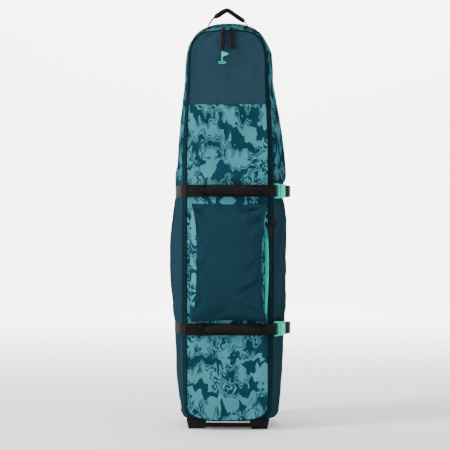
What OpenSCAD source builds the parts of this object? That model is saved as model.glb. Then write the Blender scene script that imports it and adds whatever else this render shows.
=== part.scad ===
// Wheeled golf travel case: a tall padded body with a full-height front lid,
// two buckled straps with grab handles, a shoe pocket and a moulded base with two wheels.
// +Z is up, the lid faces -Y and the origin is on the floor under the middle of the case.

/* [Body] */
// Height of the crown above the floor
crown_z = 1304; // [1294:1:1310]
// Half of the body's greatest width
body_half_w = 190; // [184:1:194]
// Height of the body's underside above the floor
base_z = 30; // [29:0.5:31]
// Thickness of the outer cloth with its backing
cloth = 2; // [1.5:0.1:2.2]
// Depth from the outside of a wall to the inside of its foam
wall = 12; // [10:0.5:13]

/* [Lid] */
// Half width of the lid at the zip
lid_half_w = 130; // [128:0.5:131]
// How far the lid stands forward of the zip at its rim
lid_rim = 24; // [20:1:24]
// Extra forward crown in the middle of the lid
lid_crown = 6; // [3:1:8]
// Height of the seam between the plain and the patterned lid cloth
lid_seam_z = 1028; // [1000:1:1050]

/* [Pocket] */
// Half width of the pocket's front
pocket_half_w = 101; // [95:1:104]
// Lower edge of the pocket
pocket_low_z = 342; // [341:1:350]
// Upper edge of the pocket
pocket_high_z = 715; // [700:1:720]
// How far the full pocket stands out from the lid
pocket_deep = 42; // [30:1:44]

/* [Straps] */
// Height of the middle of the upper strap
upper_strap_z = 756; // [750:1:760]
// Height of the middle of the lower strap
lower_strap_z = 319; // [314:1:320]
// Width of the webbing
webbing_w = 38; // [36:1:40]
// Thickness of the webbing
webbing_t = 1.6; // [1.2:0.1:1.8]

/* [Wheels] */
// Outer radius of a wheel
wheel_r = 35; // [33:0.5:35]
// Width of a wheel's tread
wheel_w = 30; // [26:1:30]
// Distance of a wheel's middle from the centre plane
wheel_x = 101; // [100:0.5:102]
// Radius of the axle bolts
axle_r = 4; // [3.5:0.1:4.2]

/* [Hidden] */
$fn = 48;

// Colours
dark_teal = "#1d4452";
mint = "#5fcab8";
camo = "#5d9aa5";
black = "#1a1b1b";
grey = "#55595b";

// Depth of the body
zip_y = -104;
back_y = 166;
zip_gap = 0.5;
zip_drop = 43;
chamfer_y = 90;
gap = 0.3;

// Half widths against height, at the zip and at the middle of the depth
front_w = [[30, -8], [52, -3], [85, 0], [900, 0], [1115, -9]];
middle_w = [
    [30, -38], [55, -28], [98, -21], [157, -17], [234, -14], [300, -15], [338, -15], [350, -12],
    [408, -4], [486, 0], [564, -2], [641, -5], [712, -12], [737, -18], [775, -18], [800, -10],
    [893, -15], [975, -22], [1048, -32], [1115, -43]
];
// Share of the bulge, the crown's height and the arch's roundness against depth
bulge_t = [
    [0, 0], [0.05, 0.24], [0.12, 0.47], [0.25, 0.75], [0.4, 0.94], [0.5, 1],
    [0.62, 0.99], [0.78, 0.9], [0.9, 0.74], [0.96, 0.58], [1, 0.36]
];
crown_t = [[0, -zip_drop], [0.15, -26], [0.3, -10], [0.5, 0], [0.8, -4], [1, -18]];
arch_t = [[0, 3.8], [0.15, 3.2], [0.4, 2.6], [1, 2.8]];
corner_t = [[0, 40], [0.2, 20], [1, 16]];

// Heights at which the side walls have a row of points; the arch and corners add angles
shoulder_z = 1115;
side_seam_z = 785;
side_z = [
    150, 200, 260, 300, 338, 375, 430, 500, 570, 640, 700, 737, 775,
    side_seam_z, 850, 920, 975, lid_seam_z, shoulder_z
];
corner_a = [0, 22.5, 45, 67.5, 90];
arch_a = [20, 38, 52, 64, 74, 82];
half_n = 1 + len(corner_a) + len(side_z) + len(arch_a);
loop_n = 2 * half_n;
i_corner = 1;
i_side_seam = 1 + len(corner_a) + 13;
i_top_seam = half_n - 4;
i_lid_seam = 1 + len(corner_a) + 17;

function mix(a, b, f) = a + (b - a) * f;
function depth_y(t) = mix(zip_y, back_y, t);
function half_w(z, t) =
    mix(lid_half_w + lookup(z, front_w), body_half_w + lookup(z, middle_w), lookup(t, bulge_t));
function top_z(t) = crown_z + lookup(t, crown_t);
function low_z(t) = base_z + max(0, depth_y(t) - chamfer_y);

// Right half of the outline at depth t, inset by d, from the bottom's middle to the crown
function half_outline(t, d) =
    let (
        r = lookup(t, corner_t), zb = low_z(t) + d, wb = half_w(low_z(t) + r, t) - d,
        p = lookup(t, arch_t), ws = half_w(shoulder_z, t) - d, h = top_z(t) - d - shoulder_z
    )
    concat(
        [[0.2, zb]],
        [for (a = corner_a) [wb - r + r * sin(a), zb + r - r * cos(a)]],
        [for (z = side_z) [half_w(z, t) - d, z]],
        [for (a = arch_a) [ws * pow(cos(a), 2 / p), shoulder_z + h * pow(sin(a), 2 / p)]]
    );
// Whole outline, up the right side and down the left
function outline(t, d) =
    let (h = half_outline(t, d))
    concat(h, [for (i = [half_n - 1:-1:0]) [-h[i][0], h[i][1]]]);
function row_at(t, d, y, first, last) =
    let (o = outline(t, d)) [for (i = [first:last]) [o[i][0], y, o[i][1]]];

// Closed slab between two matching grids of points; rows x columns points outward
module slab(outer, inner) {
    rows = len(outer);
    cols = len(outer[0]);
    last = cols - 1;
    top = rows - 1;
    function at(side, r, c) = side * rows * cols + r * cols + c;
    function quad(a, b, c, d) = [[a, b, c], [a, c, d]];
    polyhedron(
        points = concat([for (row = outer) each row], [for (row = inner) each row]),
        faces = concat(
            [for (r = [0:rows - 2]) for (c = [0:cols - 2])
                each quad(at(0, r, c), at(0, r, c + 1), at(0, r + 1, c + 1), at(0, r + 1, c))],
            [for (r = [0:rows - 2]) for (c = [0:cols - 2])
                each quad(at(1, r, c), at(1, r + 1, c), at(1, r + 1, c + 1), at(1, r, c + 1))],
            [for (r = [0:rows - 2]) each quad(at(0, r, 0), at(0, r + 1, 0), at(1, r + 1, 0), at(1, r, 0))],
            [for (r = [0:rows - 2])
                each quad(at(0, r, last), at(1, r, last), at(1, r + 1, last), at(0, r + 1, last))],
            [for (c = [0:cols - 2]) each quad(at(0, 0, c), at(1, 0, c), at(1, 0, c + 1), at(0, 0, c + 1))],
            [for (c = [0:cols - 2])
                each quad(at(0, top, c), at(0, top, c + 1), at(1, top, c + 1), at(1, top, c))]
        )
    );
}

// Stretch of the wall round the sides and the crown, between two insets
band_t = 0.06;
wall_t = [band_t, 0.09, 0.12, 0.2, 0.3, 0.42, 0.56, 0.7, 0.82, 0.91, 0.96, 1];
foam_t = [0.09, 0.2, 0.42, 0.7, 0.91, 0.96];
lining_t = [0.09, 0.2, 0.42, 0.7, 0.91];
module gusset(ts, first, last, d0, d1) {
    slab(
        [for (t = ts) row_at(t, d0, depth_y(t), first, last)],
        [for (t = ts) row_at(t, d1, depth_y(t), first, last)]
    );
}
function mirrored(i) = loop_n - 1 - i;

module right_side_lower() color(dark_teal) gusset(wall_t, i_corner, i_side_seam, 0, cloth);
module right_side_upper() color(camo) gusset(wall_t, i_side_seam, i_top_seam, 0, cloth);
module top_panel() color(camo) gusset(wall_t, i_top_seam, mirrored(i_top_seam), 0, cloth);
module left_side_upper()
    color(camo) gusset(wall_t, mirrored(i_top_seam), mirrored(i_side_seam), 0, cloth);
module left_side_lower()
    color(dark_teal) gusset(wall_t, mirrored(i_side_seam), mirrored(i_corner), 0, cloth);
module body_zip() color(dark_teal) difference() {
    gusset([zip_gap / (back_y - zip_y), 0.02, 0.04, band_t], 0, loop_n - 1, 0, cloth);
    // seam between the strip over the crown and the one round the sides
    translate([-body_half_w, zip_y - 1, shoulder_z + 0.5]) cube([2 * body_half_w, 20, gap]);
}

// Upright face that fills the outline, with its rows from the lower corner to the crown
face_rows = [for (i = [i_corner:half_n - 1]) i];
module back_slab(y0, y1, d) {
    h = half_outline(1, d);
    slab(
        [for (i = face_rows) [[-h[i][0], y1, h[i][1]], [h[i][0], y1, h[i][1]]]],
        [for (i = face_rows) [[-h[i][0], y0, h[i][1]], [h[i][0], y0, h[i][1]]]]
    );
}
module back_panel() color(dark_teal) back_slab(back_y, back_y + cloth, 0);

// Underside: a flat plate and the slope up to the back, cut out for the base's screws
screw_at = [for (x = [-45, 45]) for (y = [-50, 20, 80]) [x, y]];
screw_r = 2.5;
function under_x(t, d) = half_outline(t, d)[i_corner][0];
flat_t = [band_t, 0.2, 0.4, 0.6, (chamfer_y - zip_y) / (back_y - zip_y)];
module underside(z0, thick, d) {
    right = [for (t = flat_t) [under_x(t, d), depth_y(t)]];
    left = [for (i = [len(right) - 1:-1:0]) [-right[i][0], right[i][1]]];
    difference() {
        translate([0, 0, z0]) linear_extrude(thick) polygon(concat(right, left));
        screw_holes(screw_r + 0.2);
    }
}
module screw_holes(r)
    for (p = screw_at) translate([p[0], p[1], base_z - 20]) cylinder(r = r, h = 60);
function slope_row(t, d) =
    let (h = half_outline(t, d)[i_corner])
    [[-h[0], depth_y(t), h[1]], [h[0], depth_y(t), h[1]]];
module underside_slope(d0, d1) {
    ts = [(chamfer_y - zip_y) / (back_y - zip_y), 1];
    slab([for (t = ts) slope_row(t, d0)], [for (t = ts) slope_row(t, d1)]);
}
module bottom_panel() color(dark_teal) {
    underside(base_z, cloth, cloth + gap);
    underside_slope(0, cloth);
}
module base_board() color(black) underside(base_z + cloth + gap, 3, 14);

// Extra thickness of the foam over the club heads
crown_pad = 8;
module body_foam() color(grey) {
    d0 = cloth + gap;
    gusset(foam_t, i_corner, i_top_seam - 1, d0, wall);
    gusset(foam_t, i_top_seam, mirrored(i_top_seam), d0, wall + crown_pad);
    gusset(foam_t, mirrored(i_top_seam - 1), mirrored(i_corner), d0, wall);
    back_slab(back_y - wall, back_y - gap, wall + 1);
}
module body_lining() color("#3c4447") {
    d0 = wall + 1;
    gusset(lining_t, i_corner, i_top_seam - 1, d0, d0 + 1);
    gusset(lining_t, mirrored(i_top_seam - 1), mirrored(i_corner), d0, d0 + 1);
    back_slab(back_y - wall - gap - 1, back_y - wall - gap, wall + crown_pad + 4);
}
// Two hook-and-loop straps on the back lining that hold the golf bag
module inner_straps() color(black)
    for (z = [330, 800]) {
        for (side = [-1, 1])
            translate([side * 62, back_y - wall - gap - 2.6, z])
                cube([116, 1.6, webbing_w], center = true);
        translate([0, back_y - wall - gap - 4.6, z]) cube([70, 1.6, webbing_w], center = true);
    }

// Lid face: y at a share s of the half width and a height z, and its grid of points
rim_y = zip_y - lid_rim;
crown_fade = 70;
function lid_crown_at(z) = lid_crown * min(1, (z - base_z) / crown_fade, (crown_z - zip_drop - z) / crown_fade);
function face_y(s, z) = rim_y - lid_crown_at(z) * (1 - s * s);
face_s = [1, 0.8, 0.55, 0.25, -0.25, -0.55, -0.8, -1];
module lid_face(first, last, d, y0, y1) {
    h = half_outline(0, d);
    slab(
        [for (i = [first:last]) [for (s = face_s) [s * h[i][0], face_y(s, h[i][1]) + y0, h[i][1]]]],
        [for (i = [first:last]) [for (s = face_s) [s * h[i][0], face_y(s, h[i][1]) + y1, h[i][1]]]]
    );
}
module lid_band(ys, d0, d1)
    slab(
        [for (y = ys) row_at(0, d0, y, 0, loop_n - 1)],
        [for (y = ys) row_at(0, d1, y, 0, loop_n - 1)]
    );
zip_tape = 9;
lid_edge = cloth + gap;
module lid_zip() color(dark_teal) lid_band([zip_y - zip_tape, zip_y - zip_gap], 0, cloth);
module lid_rim() color(dark_teal) lid_band([rim_y, zip_y - zip_tape], 0, cloth);
module lid_top_panel() color(dark_teal) lid_face(i_lid_seam, half_n - 1, lid_edge, 0, cloth);
module lid_main_panel() color(camo) lid_face(i_corner, i_lid_seam, lid_edge, 0, cloth);
lid_foam_t = 8;
module lid_foam() color(grey)
    lid_face(i_corner, half_n - 1, lid_edge + 2, cloth + gap, cloth + gap + lid_foam_t);
module lid_lining() color("#3c4447")
    lid_face(i_corner, half_n - 1, lid_edge + 2, cloth + lid_foam_t + 2 * gap, cloth + lid_foam_t + 1.5);

// Closed or open tube through a row of points; size = [across, along up]
function unit(v) = v / norm(v);
function ring(p, dir, up, size, sides) =
    let (a = size[0] * unit(cross(dir, up)), b = size[1] * cross(unit(cross(dir, up)), dir), step = 360 / sides)
    [for (k = [0:sides - 1]) p + cos(step * k) * a + sin(step * k) * b];
module tube(path, sizes, up, sides, closed = false) {
    n = len(path);
    function near(i) = closed ? (i + n) % n : min(max(i, 0), n - 1);
    function size_at(i) = is_num(sizes[0]) ? sizes : sizes[i];
    function along(i) = unit(path[near(i + 1)] - path[near(i - 1)]);
    rings = [for (i = [0:n - 1]) ring(path[i], along(i), up, size_at(i), sides)];
    function at(i, k) = near(i) * sides + k % sides;
    polyhedron(
        points = [for (r = rings) each r],
        faces = concat(
            [for (i = [0:closed ? n - 1 : n - 2]) for (k = [0:sides - 1])
                each [[at(i, k), at(i + 1, k + 1), at(i + 1, k)], [at(i, k), at(i, k + 1), at(i + 1, k + 1)]]],
            closed ? [] : [[for (k = [sides - 1:-1:0]) k], [for (k = [0:sides - 1]) (n - 1) * sides + k]]
        )
    );
}
piping_r = 3;
module lid_piping() color("#11262e")
    tube([for (p = outline(0, 1)) [p[0], rim_y, p[1]]], [piping_r, piping_r], [0, 1, 0], 8, true);

// Pocket: a bulging front with a lens-shaped gusset on each side
pocket_mid_z = (pocket_low_z + pocket_high_z) / 2;
pocket_h = pocket_high_z - pocket_low_z;
pocket_edge = 117;
pocket_z = [for (k = [0:12]) pocket_low_z + pocket_h * k / 12];
function pocket_fill(z) = max(0, 1 - pow(2 * (z - pocket_mid_z) / pocket_h, 2));
function pocket_out(z) = 3 + (pocket_deep - 9) * pow(pocket_fill(z), 0.6);
function pocket_crown(s, z) = 6 * (1 - s * s) * pocket_out(z) / pocket_deep;
function pocket_y(s, z) = rim_y - lid_crown - gap - pocket_out(z) - pocket_crown(s, z);
module pocket_front() color(dark_teal)
    slab(
        [for (z = pocket_z) [for (s = face_s) [s * pocket_half_w, pocket_y(s, z), z]]],
        [for (z = pocket_z) [for (s = face_s) [s * pocket_half_w, pocket_y(s, z) + cloth, z]]]
    );
module pocket_gusset(side) {
    function at_lid(z, out) = [side * pocket_edge, rim_y - 2.2 - cloth + out, z];
    function at_front(z, out) = [side * pocket_half_w, pocket_y(1, z) + out, z];
    function rows(out) = [
        for (z = pocket_z) side > 0 ? [at_lid(z, out), at_front(z, out)] : [at_front(z, out), at_lid(z, out)]
    ];
    slab(rows(0), rows(cloth));
}
module pocket_gussets() color(camo) {
    pocket_gusset(-1);
    pocket_gusset(1);
}
pocket_zip_x = 121.5;
pocket_zip_w = 7;
pocket_zip_low = 369;
pocket_zip_high = 690;
pocket_zip_y = rim_y - 1.5;
module pocket_zip() color(mint)
    translate([pocket_zip_x - pocket_zip_w / 2, pocket_zip_y - 1.4, pocket_zip_low])
        cube([pocket_zip_w, 1.4, pocket_zip_high - pocket_zip_low]);

// Badge: a plain golf flag over its hole, sewn to the lid
badge_x = -10;
badge_z = 1177;
module badge() color(mint)
    translate([badge_x, rim_y - lid_crown - gap, badge_z]) rotate([90, 0, 0]) linear_extrude(1.2) {
        translate([-8, -16]) square([3, 34]);
        polygon([[-5, 18], [16, 10], [-5, 2]]);
        translate([-6.5, -16]) scale([1, 0.3]) circle(r = 13);
    }

// Webbing on edge along a plan path
function turn(p, q) = let (d = unit(q - p)) [-d[1], d[0]];
function side_of(path, i) =
    let (
        n = len(path),
        a = turn(path[max(i - 1, 0)], path[max(i, 1)]),
        b = turn(path[min(i, n - 2)], path[min(i + 1, n - 1)])
    )
    (a + b) / (1 + a * b);
module ribbon(path, z, w, t)
    translate([0, 0, z - w / 2]) linear_extrude(w)
        polygon(concat(
            [for (i = [0:len(path) - 1]) path[i] + side_of(path, i) * t / 2],
            [for (i = [len(path) - 1:-1:0]) path[i] - side_of(path, i) * t / 2]
        ));
// The buckle's frame: its own +X runs from the lid towards the body
buckle_at = [150, -108];
buckle_turn = 60;
module at_buckle(z) translate([buckle_at[0], buckle_at[1], z]) rotate([0, 0, buckle_turn]) children();
strap_y = rim_y - 5.2;
strap_in = 1.1;
front_path = [
    [-134, -105.5], [-134, rim_y - 1.5], [-130.8, strap_y], [-110, strap_y - 1], [-70, strap_y - 2.6],
    [0, strap_y - 3.6], [70, strap_y - 2.6], [110, strap_y - 1], [130, strap_y - 0.4], [134, strap_y + 4],
    buckle_at + [-2.4, -4.2]
];
// Where the grab handle's ends turn, and the sewn pads and loops that hold them
grab_x = [-74, 98];
grab_y = strap_y - 11.8;
grab_r = 4.5;
pad_l = 28;
pad_t = 1.4;
loop_w = 7;
loop_l = 15;
module strap_front(z) color(black) {
    ribbon(front_path, z, webbing_w, webbing_t);
    // sewn end pads, each with the loop that holds the end of the grab handle
    for (x = grab_x) {
        turned = x > 0 ? 1 : -1;
        translate([x + turned * pad_l / 2, strap_y - 2.9, z]) cube([pad_l, pad_t, webbing_w], center = true);
        translate([x + turned * 4, 0, z]) difference() {
            translate([0, strap_y - 2.4 - loop_l / 2, 0]) cube([loop_w, loop_l, 16], center = true);
            translate([0, grab_y, 0]) rotate([0, 90, 0]) cylinder(r = grab_r + 0.05, h = 20, center = true);
        }
    }
}
module upper_strap_front() strap_front(upper_strap_z);
module lower_strap_front() strap_front(lower_strap_z);

// Grab handle: a rolled webbing grip bowed forward between two round ends
grab_path = [
    [-68, -1, 0], [-60, -7, 0], [-44, -11, 0], [-20, -14, 0], [12, -15, 0],
    [44, -14, 0], [68, -11, 0], [84, -7, 0], [92, -1, 0]
];
grab_size = [[4, 4], [5, 6], [5.5, 9], [6, 11], [6, 11.5], [6, 11], [5.5, 9], [5, 6], [4, 4]];
module grab_handle(z) color(black) translate([0, grab_y, z]) {
    for (x = grab_x)
        translate([x, 0, 0]) rotate([0, 90, 0]) cylinder(r = grab_r, h = 16, center = true);
    tube(grab_path, grab_size, [0, 0, 1], 12);
}
module upper_grab_handle() grab_handle(upper_strap_z);
module lower_grab_handle() grab_handle(lower_strap_z);

// Body webbing: sewn round the left side, and looped out to the buckle on the right
function side_path(z, side, ts, off) = [for (t = ts) [side * (half_w(z, t) + off), depth_y(t)]];
left_t = [0.02, 0.04, 0.06, 0.09, 0.12, 0.2, 0.3, 0.42, 0.56, 0.7, 0.82, 0.9];
right_t = [0.9, 0.82, 0.7, 0.56, 0.42];
buckle_end = [188.6, -41.2];
module strap_back(z) color(black) {
    ribbon(side_path(z, -1, left_t, strap_in + 0.4), z, webbing_w, webbing_t);
    w = half_w(z, 0.42) + strap_in + 0.4;
    to_buckle = [[w + 6, -6], [197, -18], [197, -30], buckle_end];
    ribbon(concat(side_path(z, 1, right_t, strap_in + 0.4), to_buckle), z, webbing_w, webbing_t);
}
module upper_strap_back() strap_back(upper_strap_z);
module lower_strap_back() strap_back(lower_strap_z);

// Side-release buckle: its height, its two thicknesses and where its body starts
buckle_w = 47;
buckle_t = 11;
frame_t = 8;
frame_l = 25;
rail = 5;
inner_w = buckle_w - 9;
tongue_t = 4.4;
female_x = 28;
female_l = 28;
tail_x = 48;
tail_l = 22;
slot_t = 5.4;
arm_x = 25.5;
arm_y = 13;
arm_l = 20;
pad_x = 38.5;
module block(x, z, size) translate([x + size[0] / 2, 0, z]) cube(size, center = true);
module buckle_male(z) color(mint) at_buckle(z) {
    // ladder frame with the webbing bar
    for (side = [-1, 1]) block(0, side * (buckle_w - rail) / 2, [frame_l, frame_t, rail]);
    block(0, 0, [3.2, 5, inner_w]);
    block(frame_l - 8, 0, [8, frame_t, inner_w]);
    // guide tongue between the two latch arms
    block(frame_l - 0.2, 0, [22.4, tongue_t, 9]);
}
module buckle_female(z) color(mint) at_buckle(z)
    difference() {
        union() {
            block(female_x, 0, [female_l, buckle_t, buckle_w - 3]);
            block(tail_x, 0, [tail_l, frame_t, buckle_w - 6]);
        }
        block(female_x - 2, 0, [female_l, slot_t, buckle_w - 12]);
        // side windows for the latch pads
        for (side = [-1, 1]) block(female_x + 8, side * (buckle_w / 2 - 4), [12, slot_t, 20]);
        // slot round the webbing bar
        block(tail_x + 9, 0, [7, 20, buckle_w - 16]);
    }
module latch_arm(z, side) color(mint) at_buckle(z) {
    block(arm_x, side * arm_y, [arm_l, tongue_t, 4]);
    block(pad_x, side * (arm_y + 4.4), [7, tongue_t, 5]);
}
module upper_buckle_male() buckle_male(upper_strap_z);
module lower_buckle_male() buckle_male(lower_strap_z);
module upper_buckle_female() buckle_female(upper_strap_z);
module lower_buckle_female() buckle_female(lower_strap_z);
module upper_arm_top() latch_arm(upper_strap_z, 1);
module upper_arm_bottom() latch_arm(upper_strap_z, -1);
module lower_arm_top() latch_arm(lower_strap_z, 1);
module lower_arm_bottom() latch_arm(lower_strap_z, -1);

// Top haul handle: two webbing legs and a padded grip, on an axis just above the crown
haul_y = -55;
haul_z = 1283;
haul_foot = [-66, 62];
haul_w = 13;
module haul_handle_webbing() color(black) {
    haul_leg([[haul_foot[0], haul_z], [-59, 1294.5], [-51, 1306], [-45.8, 1311.6]]);
    haul_leg([[haul_foot[1], haul_z], [60, 1288], [56.5, 1293.5], [53, 1298.4]]);
}
module haul_leg(path) {
    last = len(path) - 1;
    sizes = [for (k = [0:last]) [1.4, mix(4, haul_w, k / last)]];
    tube([for (p = path) [p[0], haul_y, p[1]]], sizes, [0, 1, 0], 8);
}
grip_path = [
    [-44, 0, 1312.5], [-38, 0, 1316.5], [-29, 0, 1322], [-16, 0, 1330.5], [-4, 0, 1335],
    [8, 0, 1330], [21, 0, 1320.5], [34, 0, 1311.5], [45, 0, 1304.2], [51, 0, 1300]
];
grip_size = [
    [3.5, 12], [7.6, 15], [8.4, 16], [8.2, 16], [7.6, 16], [7.4, 16], [7.4, 16], [7.6, 16], [7.4, 15], [5, 12]
];
module haul_handle_grip() color(black)
    translate([0, haul_y, 0]) tube(grip_path, grip_size, [0, 1, 0], 16);
module handle_anchors() color(black)
    for (a = [[haul_foot[0], -5.4, -15], [haul_foot[1], -4.3, 15]])
        translate([a[0], haul_y, haul_z + a[1]]) rotate([16, a[2], 0]) cube([26, 34, 2], center = true);

// Sled base with two trapezoid front feet
foot_x = 100;
foot_top = 32;
foot_low = 25;
module runner(y0, y1, z0)
    for (side = [-1, 1])
        translate([side * foot_x, y1, 0]) rotate([90, 0, 0]) linear_extrude(y1 - y0)
            let (low = mix(foot_low, foot_top, z0 / base_z), z1 = base_z - gap)
            polygon([[-low, z0], [low, z0], [foot_top, z1], [-foot_top, z1]]);
foot_front = -92;
foot_back = -46;
runner_z = 17;
base_back = 88;
base_t = 6;
module sled_base() color("#151616") difference() {
    union() {
        runner(foot_front, foot_back, 0);
        runner(foot_back - 0.01, base_back, runner_z);
        translate([-foot_x, -60, base_z - gap - base_t]) cube([2 * foot_x, base_back + 60, base_t]);
    }
    screw_holes(screw_r + 0.05);
}
module cross_bar() color("#151616")
    translate([-foot_x + foot_low, -88, 5]) cube([2 * (foot_x - foot_low), 12, 13]);
module base_screws() color(grey)
    for (p = screw_at) translate([p[0], p[1], base_z - gap - base_t - 2.3]) {
        cylinder(r = 5, h = 2.2);
        cylinder(r = screw_r, h = 18);
    }

// Wheels in open housings at the back of the base
wheel_at = [152, 35];
axle_fit = 0.05;
plate_t = 4;
house_w = wheel_w / 2 + 2;
module housing_plate() difference() {
    union() {
        polygon([[88.3, 29.5], [88.3, 17], [120, 18], [152, 24], [164, 35], [156, 95], [91, 30]]);
        translate(wheel_at) circle(r = 11);
    }
    translate(wheel_at) circle(r = axle_r + axle_fit);
}
module wheel_housing(side) color("#151616") translate([side * wheel_x, 0, 0]) {
    for (k = [-1, 1])
        translate([k * (house_w + plate_t / 2), 0, 0])
            rotate([90, 0, 90]) linear_extrude(plate_t, center = true) housing_plate();
    rotate([90, 0, 90]) linear_extrude(2 * house_w + 0.02, center = true)
        polygon([[91, 30], [156, 95], [158, 92.6], [93, 27.6]]);
}
module left_wheel_housing() wheel_housing(-1);
module right_wheel_housing() wheel_housing(1);
module axle_bolts() color(grey)
    for (side = [-1, 1])
        translate([side * wheel_x, wheel_at[0], wheel_at[1]]) rotate([0, 90, 0]) {
            cylinder(r = axle_r, h = 2 * (house_w + plate_t) + 9, center = true);
            translate([0, 0, house_w + plate_t + 0.1]) cylinder(r = 7, h = 4);
            translate([0, 0, -house_w - plate_t - 4.6]) cylinder(r = 7, h = 4.5, $fn = 6);
        }
hub_r = 24;
bearing_r = 11;
module ring_solid(r_out, r_in, w) rotate([0, 90, 0]) difference() {
    cylinder(r = r_out, h = w, center = true);
    cylinder(r = r_in, h = w + 2, center = true);
}
module at_wheel(side) translate([side * wheel_x, wheel_at[0], wheel_at[1]]) children();
module tyre() color("#202121") rotate([0, 90, 0]) rotate_extrude()
    polygon([
        [hub_r + axle_fit, -wheel_w / 2 + 2], [wheel_r - 6, -wheel_w / 2 + 2], [wheel_r, -wheel_w / 2 + 7],
        [wheel_r, wheel_w / 2 - 7], [wheel_r - 6, wheel_w / 2 - 2], [hub_r + axle_fit, wheel_w / 2 - 2]
    ]);
module hub() color(grey) {
    ring_solid(bearing_r + 3.5, bearing_r + axle_fit, wheel_w - 5);
    ring_solid(hub_r, hub_r - 3, wheel_w - 5);
    difference() {
        ring_solid(hub_r - 2, bearing_r + 3, 5);
        for (k = [0:5])
            rotate([60 * k, 0, 0]) translate([0, 17.5, 0])
                rotate([0, 90, 0]) cylinder(r = 2.6, h = 9, center = true);
    }
}
module bearings() color("#8d9193")
    for (k = [-1, 1]) translate([k * 8.5, 0, 0]) ring_solid(bearing_r, axle_r + axle_fit, 7);
module left_tyre() at_wheel(-1) tyre();
module right_tyre() at_wheel(1) tyre();
module left_hub() at_wheel(-1) hub();
module right_hub() at_wheel(1) hub();
module left_bearings() at_wheel(-1) bearings();
module right_bearings() at_wheel(1) bearings();

// Zip sliders: a flat body over the coil with a bridge for the pull cord
zip_top = crown_z - zip_drop;
main_x = [-12, 12];
module main_slider(x) color(black) translate([x, zip_y, zip_top + 1.6]) {
    translate([-7, -5, 0]) cube([14, 10, 2.4]);
    difference() {
        translate([-4, -1.5, 2]) cube([8, 3, 5.5]);
        translate([0, 0, 4.9]) rotate([90, 0, 0]) cylinder(r = 1.3, h = 9, center = true);
    }
}
module main_slider_left() main_slider(main_x[0]);
module main_slider_right() main_slider(main_x[1]);
module pocket_slider(z) color(black) translate([pocket_zip_x, pocket_zip_y - 1.4 - gap, z]) {
    translate([-4, -2.2, -6]) cube([8, 2.2, 12]);
    difference() {
        translate([-1.5, -6.5, -3.5]) cube([3, 4.5, 7]);
        translate([0, -4.4, 0]) rotate([0, 90, 0]) cylinder(r = 1.2, h = 9, center = true);
    }
}
slider_z = [676, 652];
module pocket_slider_upper() pocket_slider(slider_z[0]);
module pocket_slider_lower() pocket_slider(slider_z[1]);

// Braided pull cords: two strands from the slider's bridge to a knot
cord_r = 2.8;
knot_r = 6.2;
module pull_cord(route, spread, up) color(black) {
    for (side = [-1, 1])
        tube([for (p = route) p + [side * spread, 0, 0]], [cord_r, cord_r], up, 8);
    end = route[len(route) - 1];
    translate(end + 0.7 * knot_r * unit(end - route[len(route) - 2])) sphere(r = knot_r, $fn = 12);
}
main_route = [
    [0, -2, 7.2], [0, -9, 9.6], [0, -18, 10.2], [0, -27, 8.4], [0, -33, 2], [0, -35, -5], [0, -35.2, -14],
    [0, -35.4, -24], [0, -36, -34], [0, -37.2, -43], [0, -38.6, -50]
];
strand_gap = 3;
module main_cord(x, lean) {
    route = [for (p = main_route) [x + lean * (p[2] - 6) / 10, zip_y + p[1], zip_top + p[2]]];
    pull_cord(route, strand_gap, [1, 0, 0]);
}
module main_cord_left() main_cord(main_x[0], 0.4);
module main_cord_right() main_cord(main_x[1], -0.7);
upper_route = [[0, -10, 0], [6, -11.5, 2], [12, -12.5, 0], [18, -13, -6], [23, -13, -14], [27, -13, -22]];
lower_route = [[2.6, -10, -1], [6, -11.5, -4], [9, -12.5, -12], [11, -13, -22], [12, -13, -32], [12, -13, -38]];
module pocket_cord(z, path) {
    route = [for (p = path) [pocket_zip_x + p[0], pocket_zip_y + p[1], z + p[2]]];
    pull_cord(route, strand_gap, [0, 1, 0]);
}
module pocket_cord_upper() pocket_cord(slider_z[0], upper_route);
module pocket_cord_lower() pocket_cord(slider_z[1], lower_route);

back_panel();
left_side_lower();
left_side_upper();
top_panel();
right_side_upper();
right_side_lower();
bottom_panel();
body_zip();
body_foam();
body_lining();
base_board();
sled_base();
left_wheel_housing();
right_wheel_housing();
cross_bar();
base_screws();
axle_bolts();
handle_anchors();
upper_strap_back();
lower_strap_back();
upper_buckle_female();
lower_buckle_female();
inner_straps();
lid_top_panel();
lid_main_panel();
lid_foam();
lid_lining();
lid_piping();
lid_rim();
lid_zip();
pocket_front();
pocket_gussets();
pocket_zip();
badge();
upper_strap_front();
lower_strap_front();
upper_buckle_male();
lower_buckle_male();
upper_arm_top();
upper_arm_bottom();
lower_arm_top();
lower_arm_bottom();
upper_grab_handle();
lower_grab_handle();
haul_handle_webbing();
haul_handle_grip();
left_tyre();
left_hub();
left_bearings();
right_tyre();
right_hub();
right_bearings();
main_slider_left();
main_slider_right();
main_cord_left();
main_cord_right();
pocket_slider_upper();
pocket_slider_lower();
pocket_cord_upper();
pocket_cord_lower();
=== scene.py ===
import math

import bpy
import bmesh
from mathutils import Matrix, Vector, noise


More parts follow.
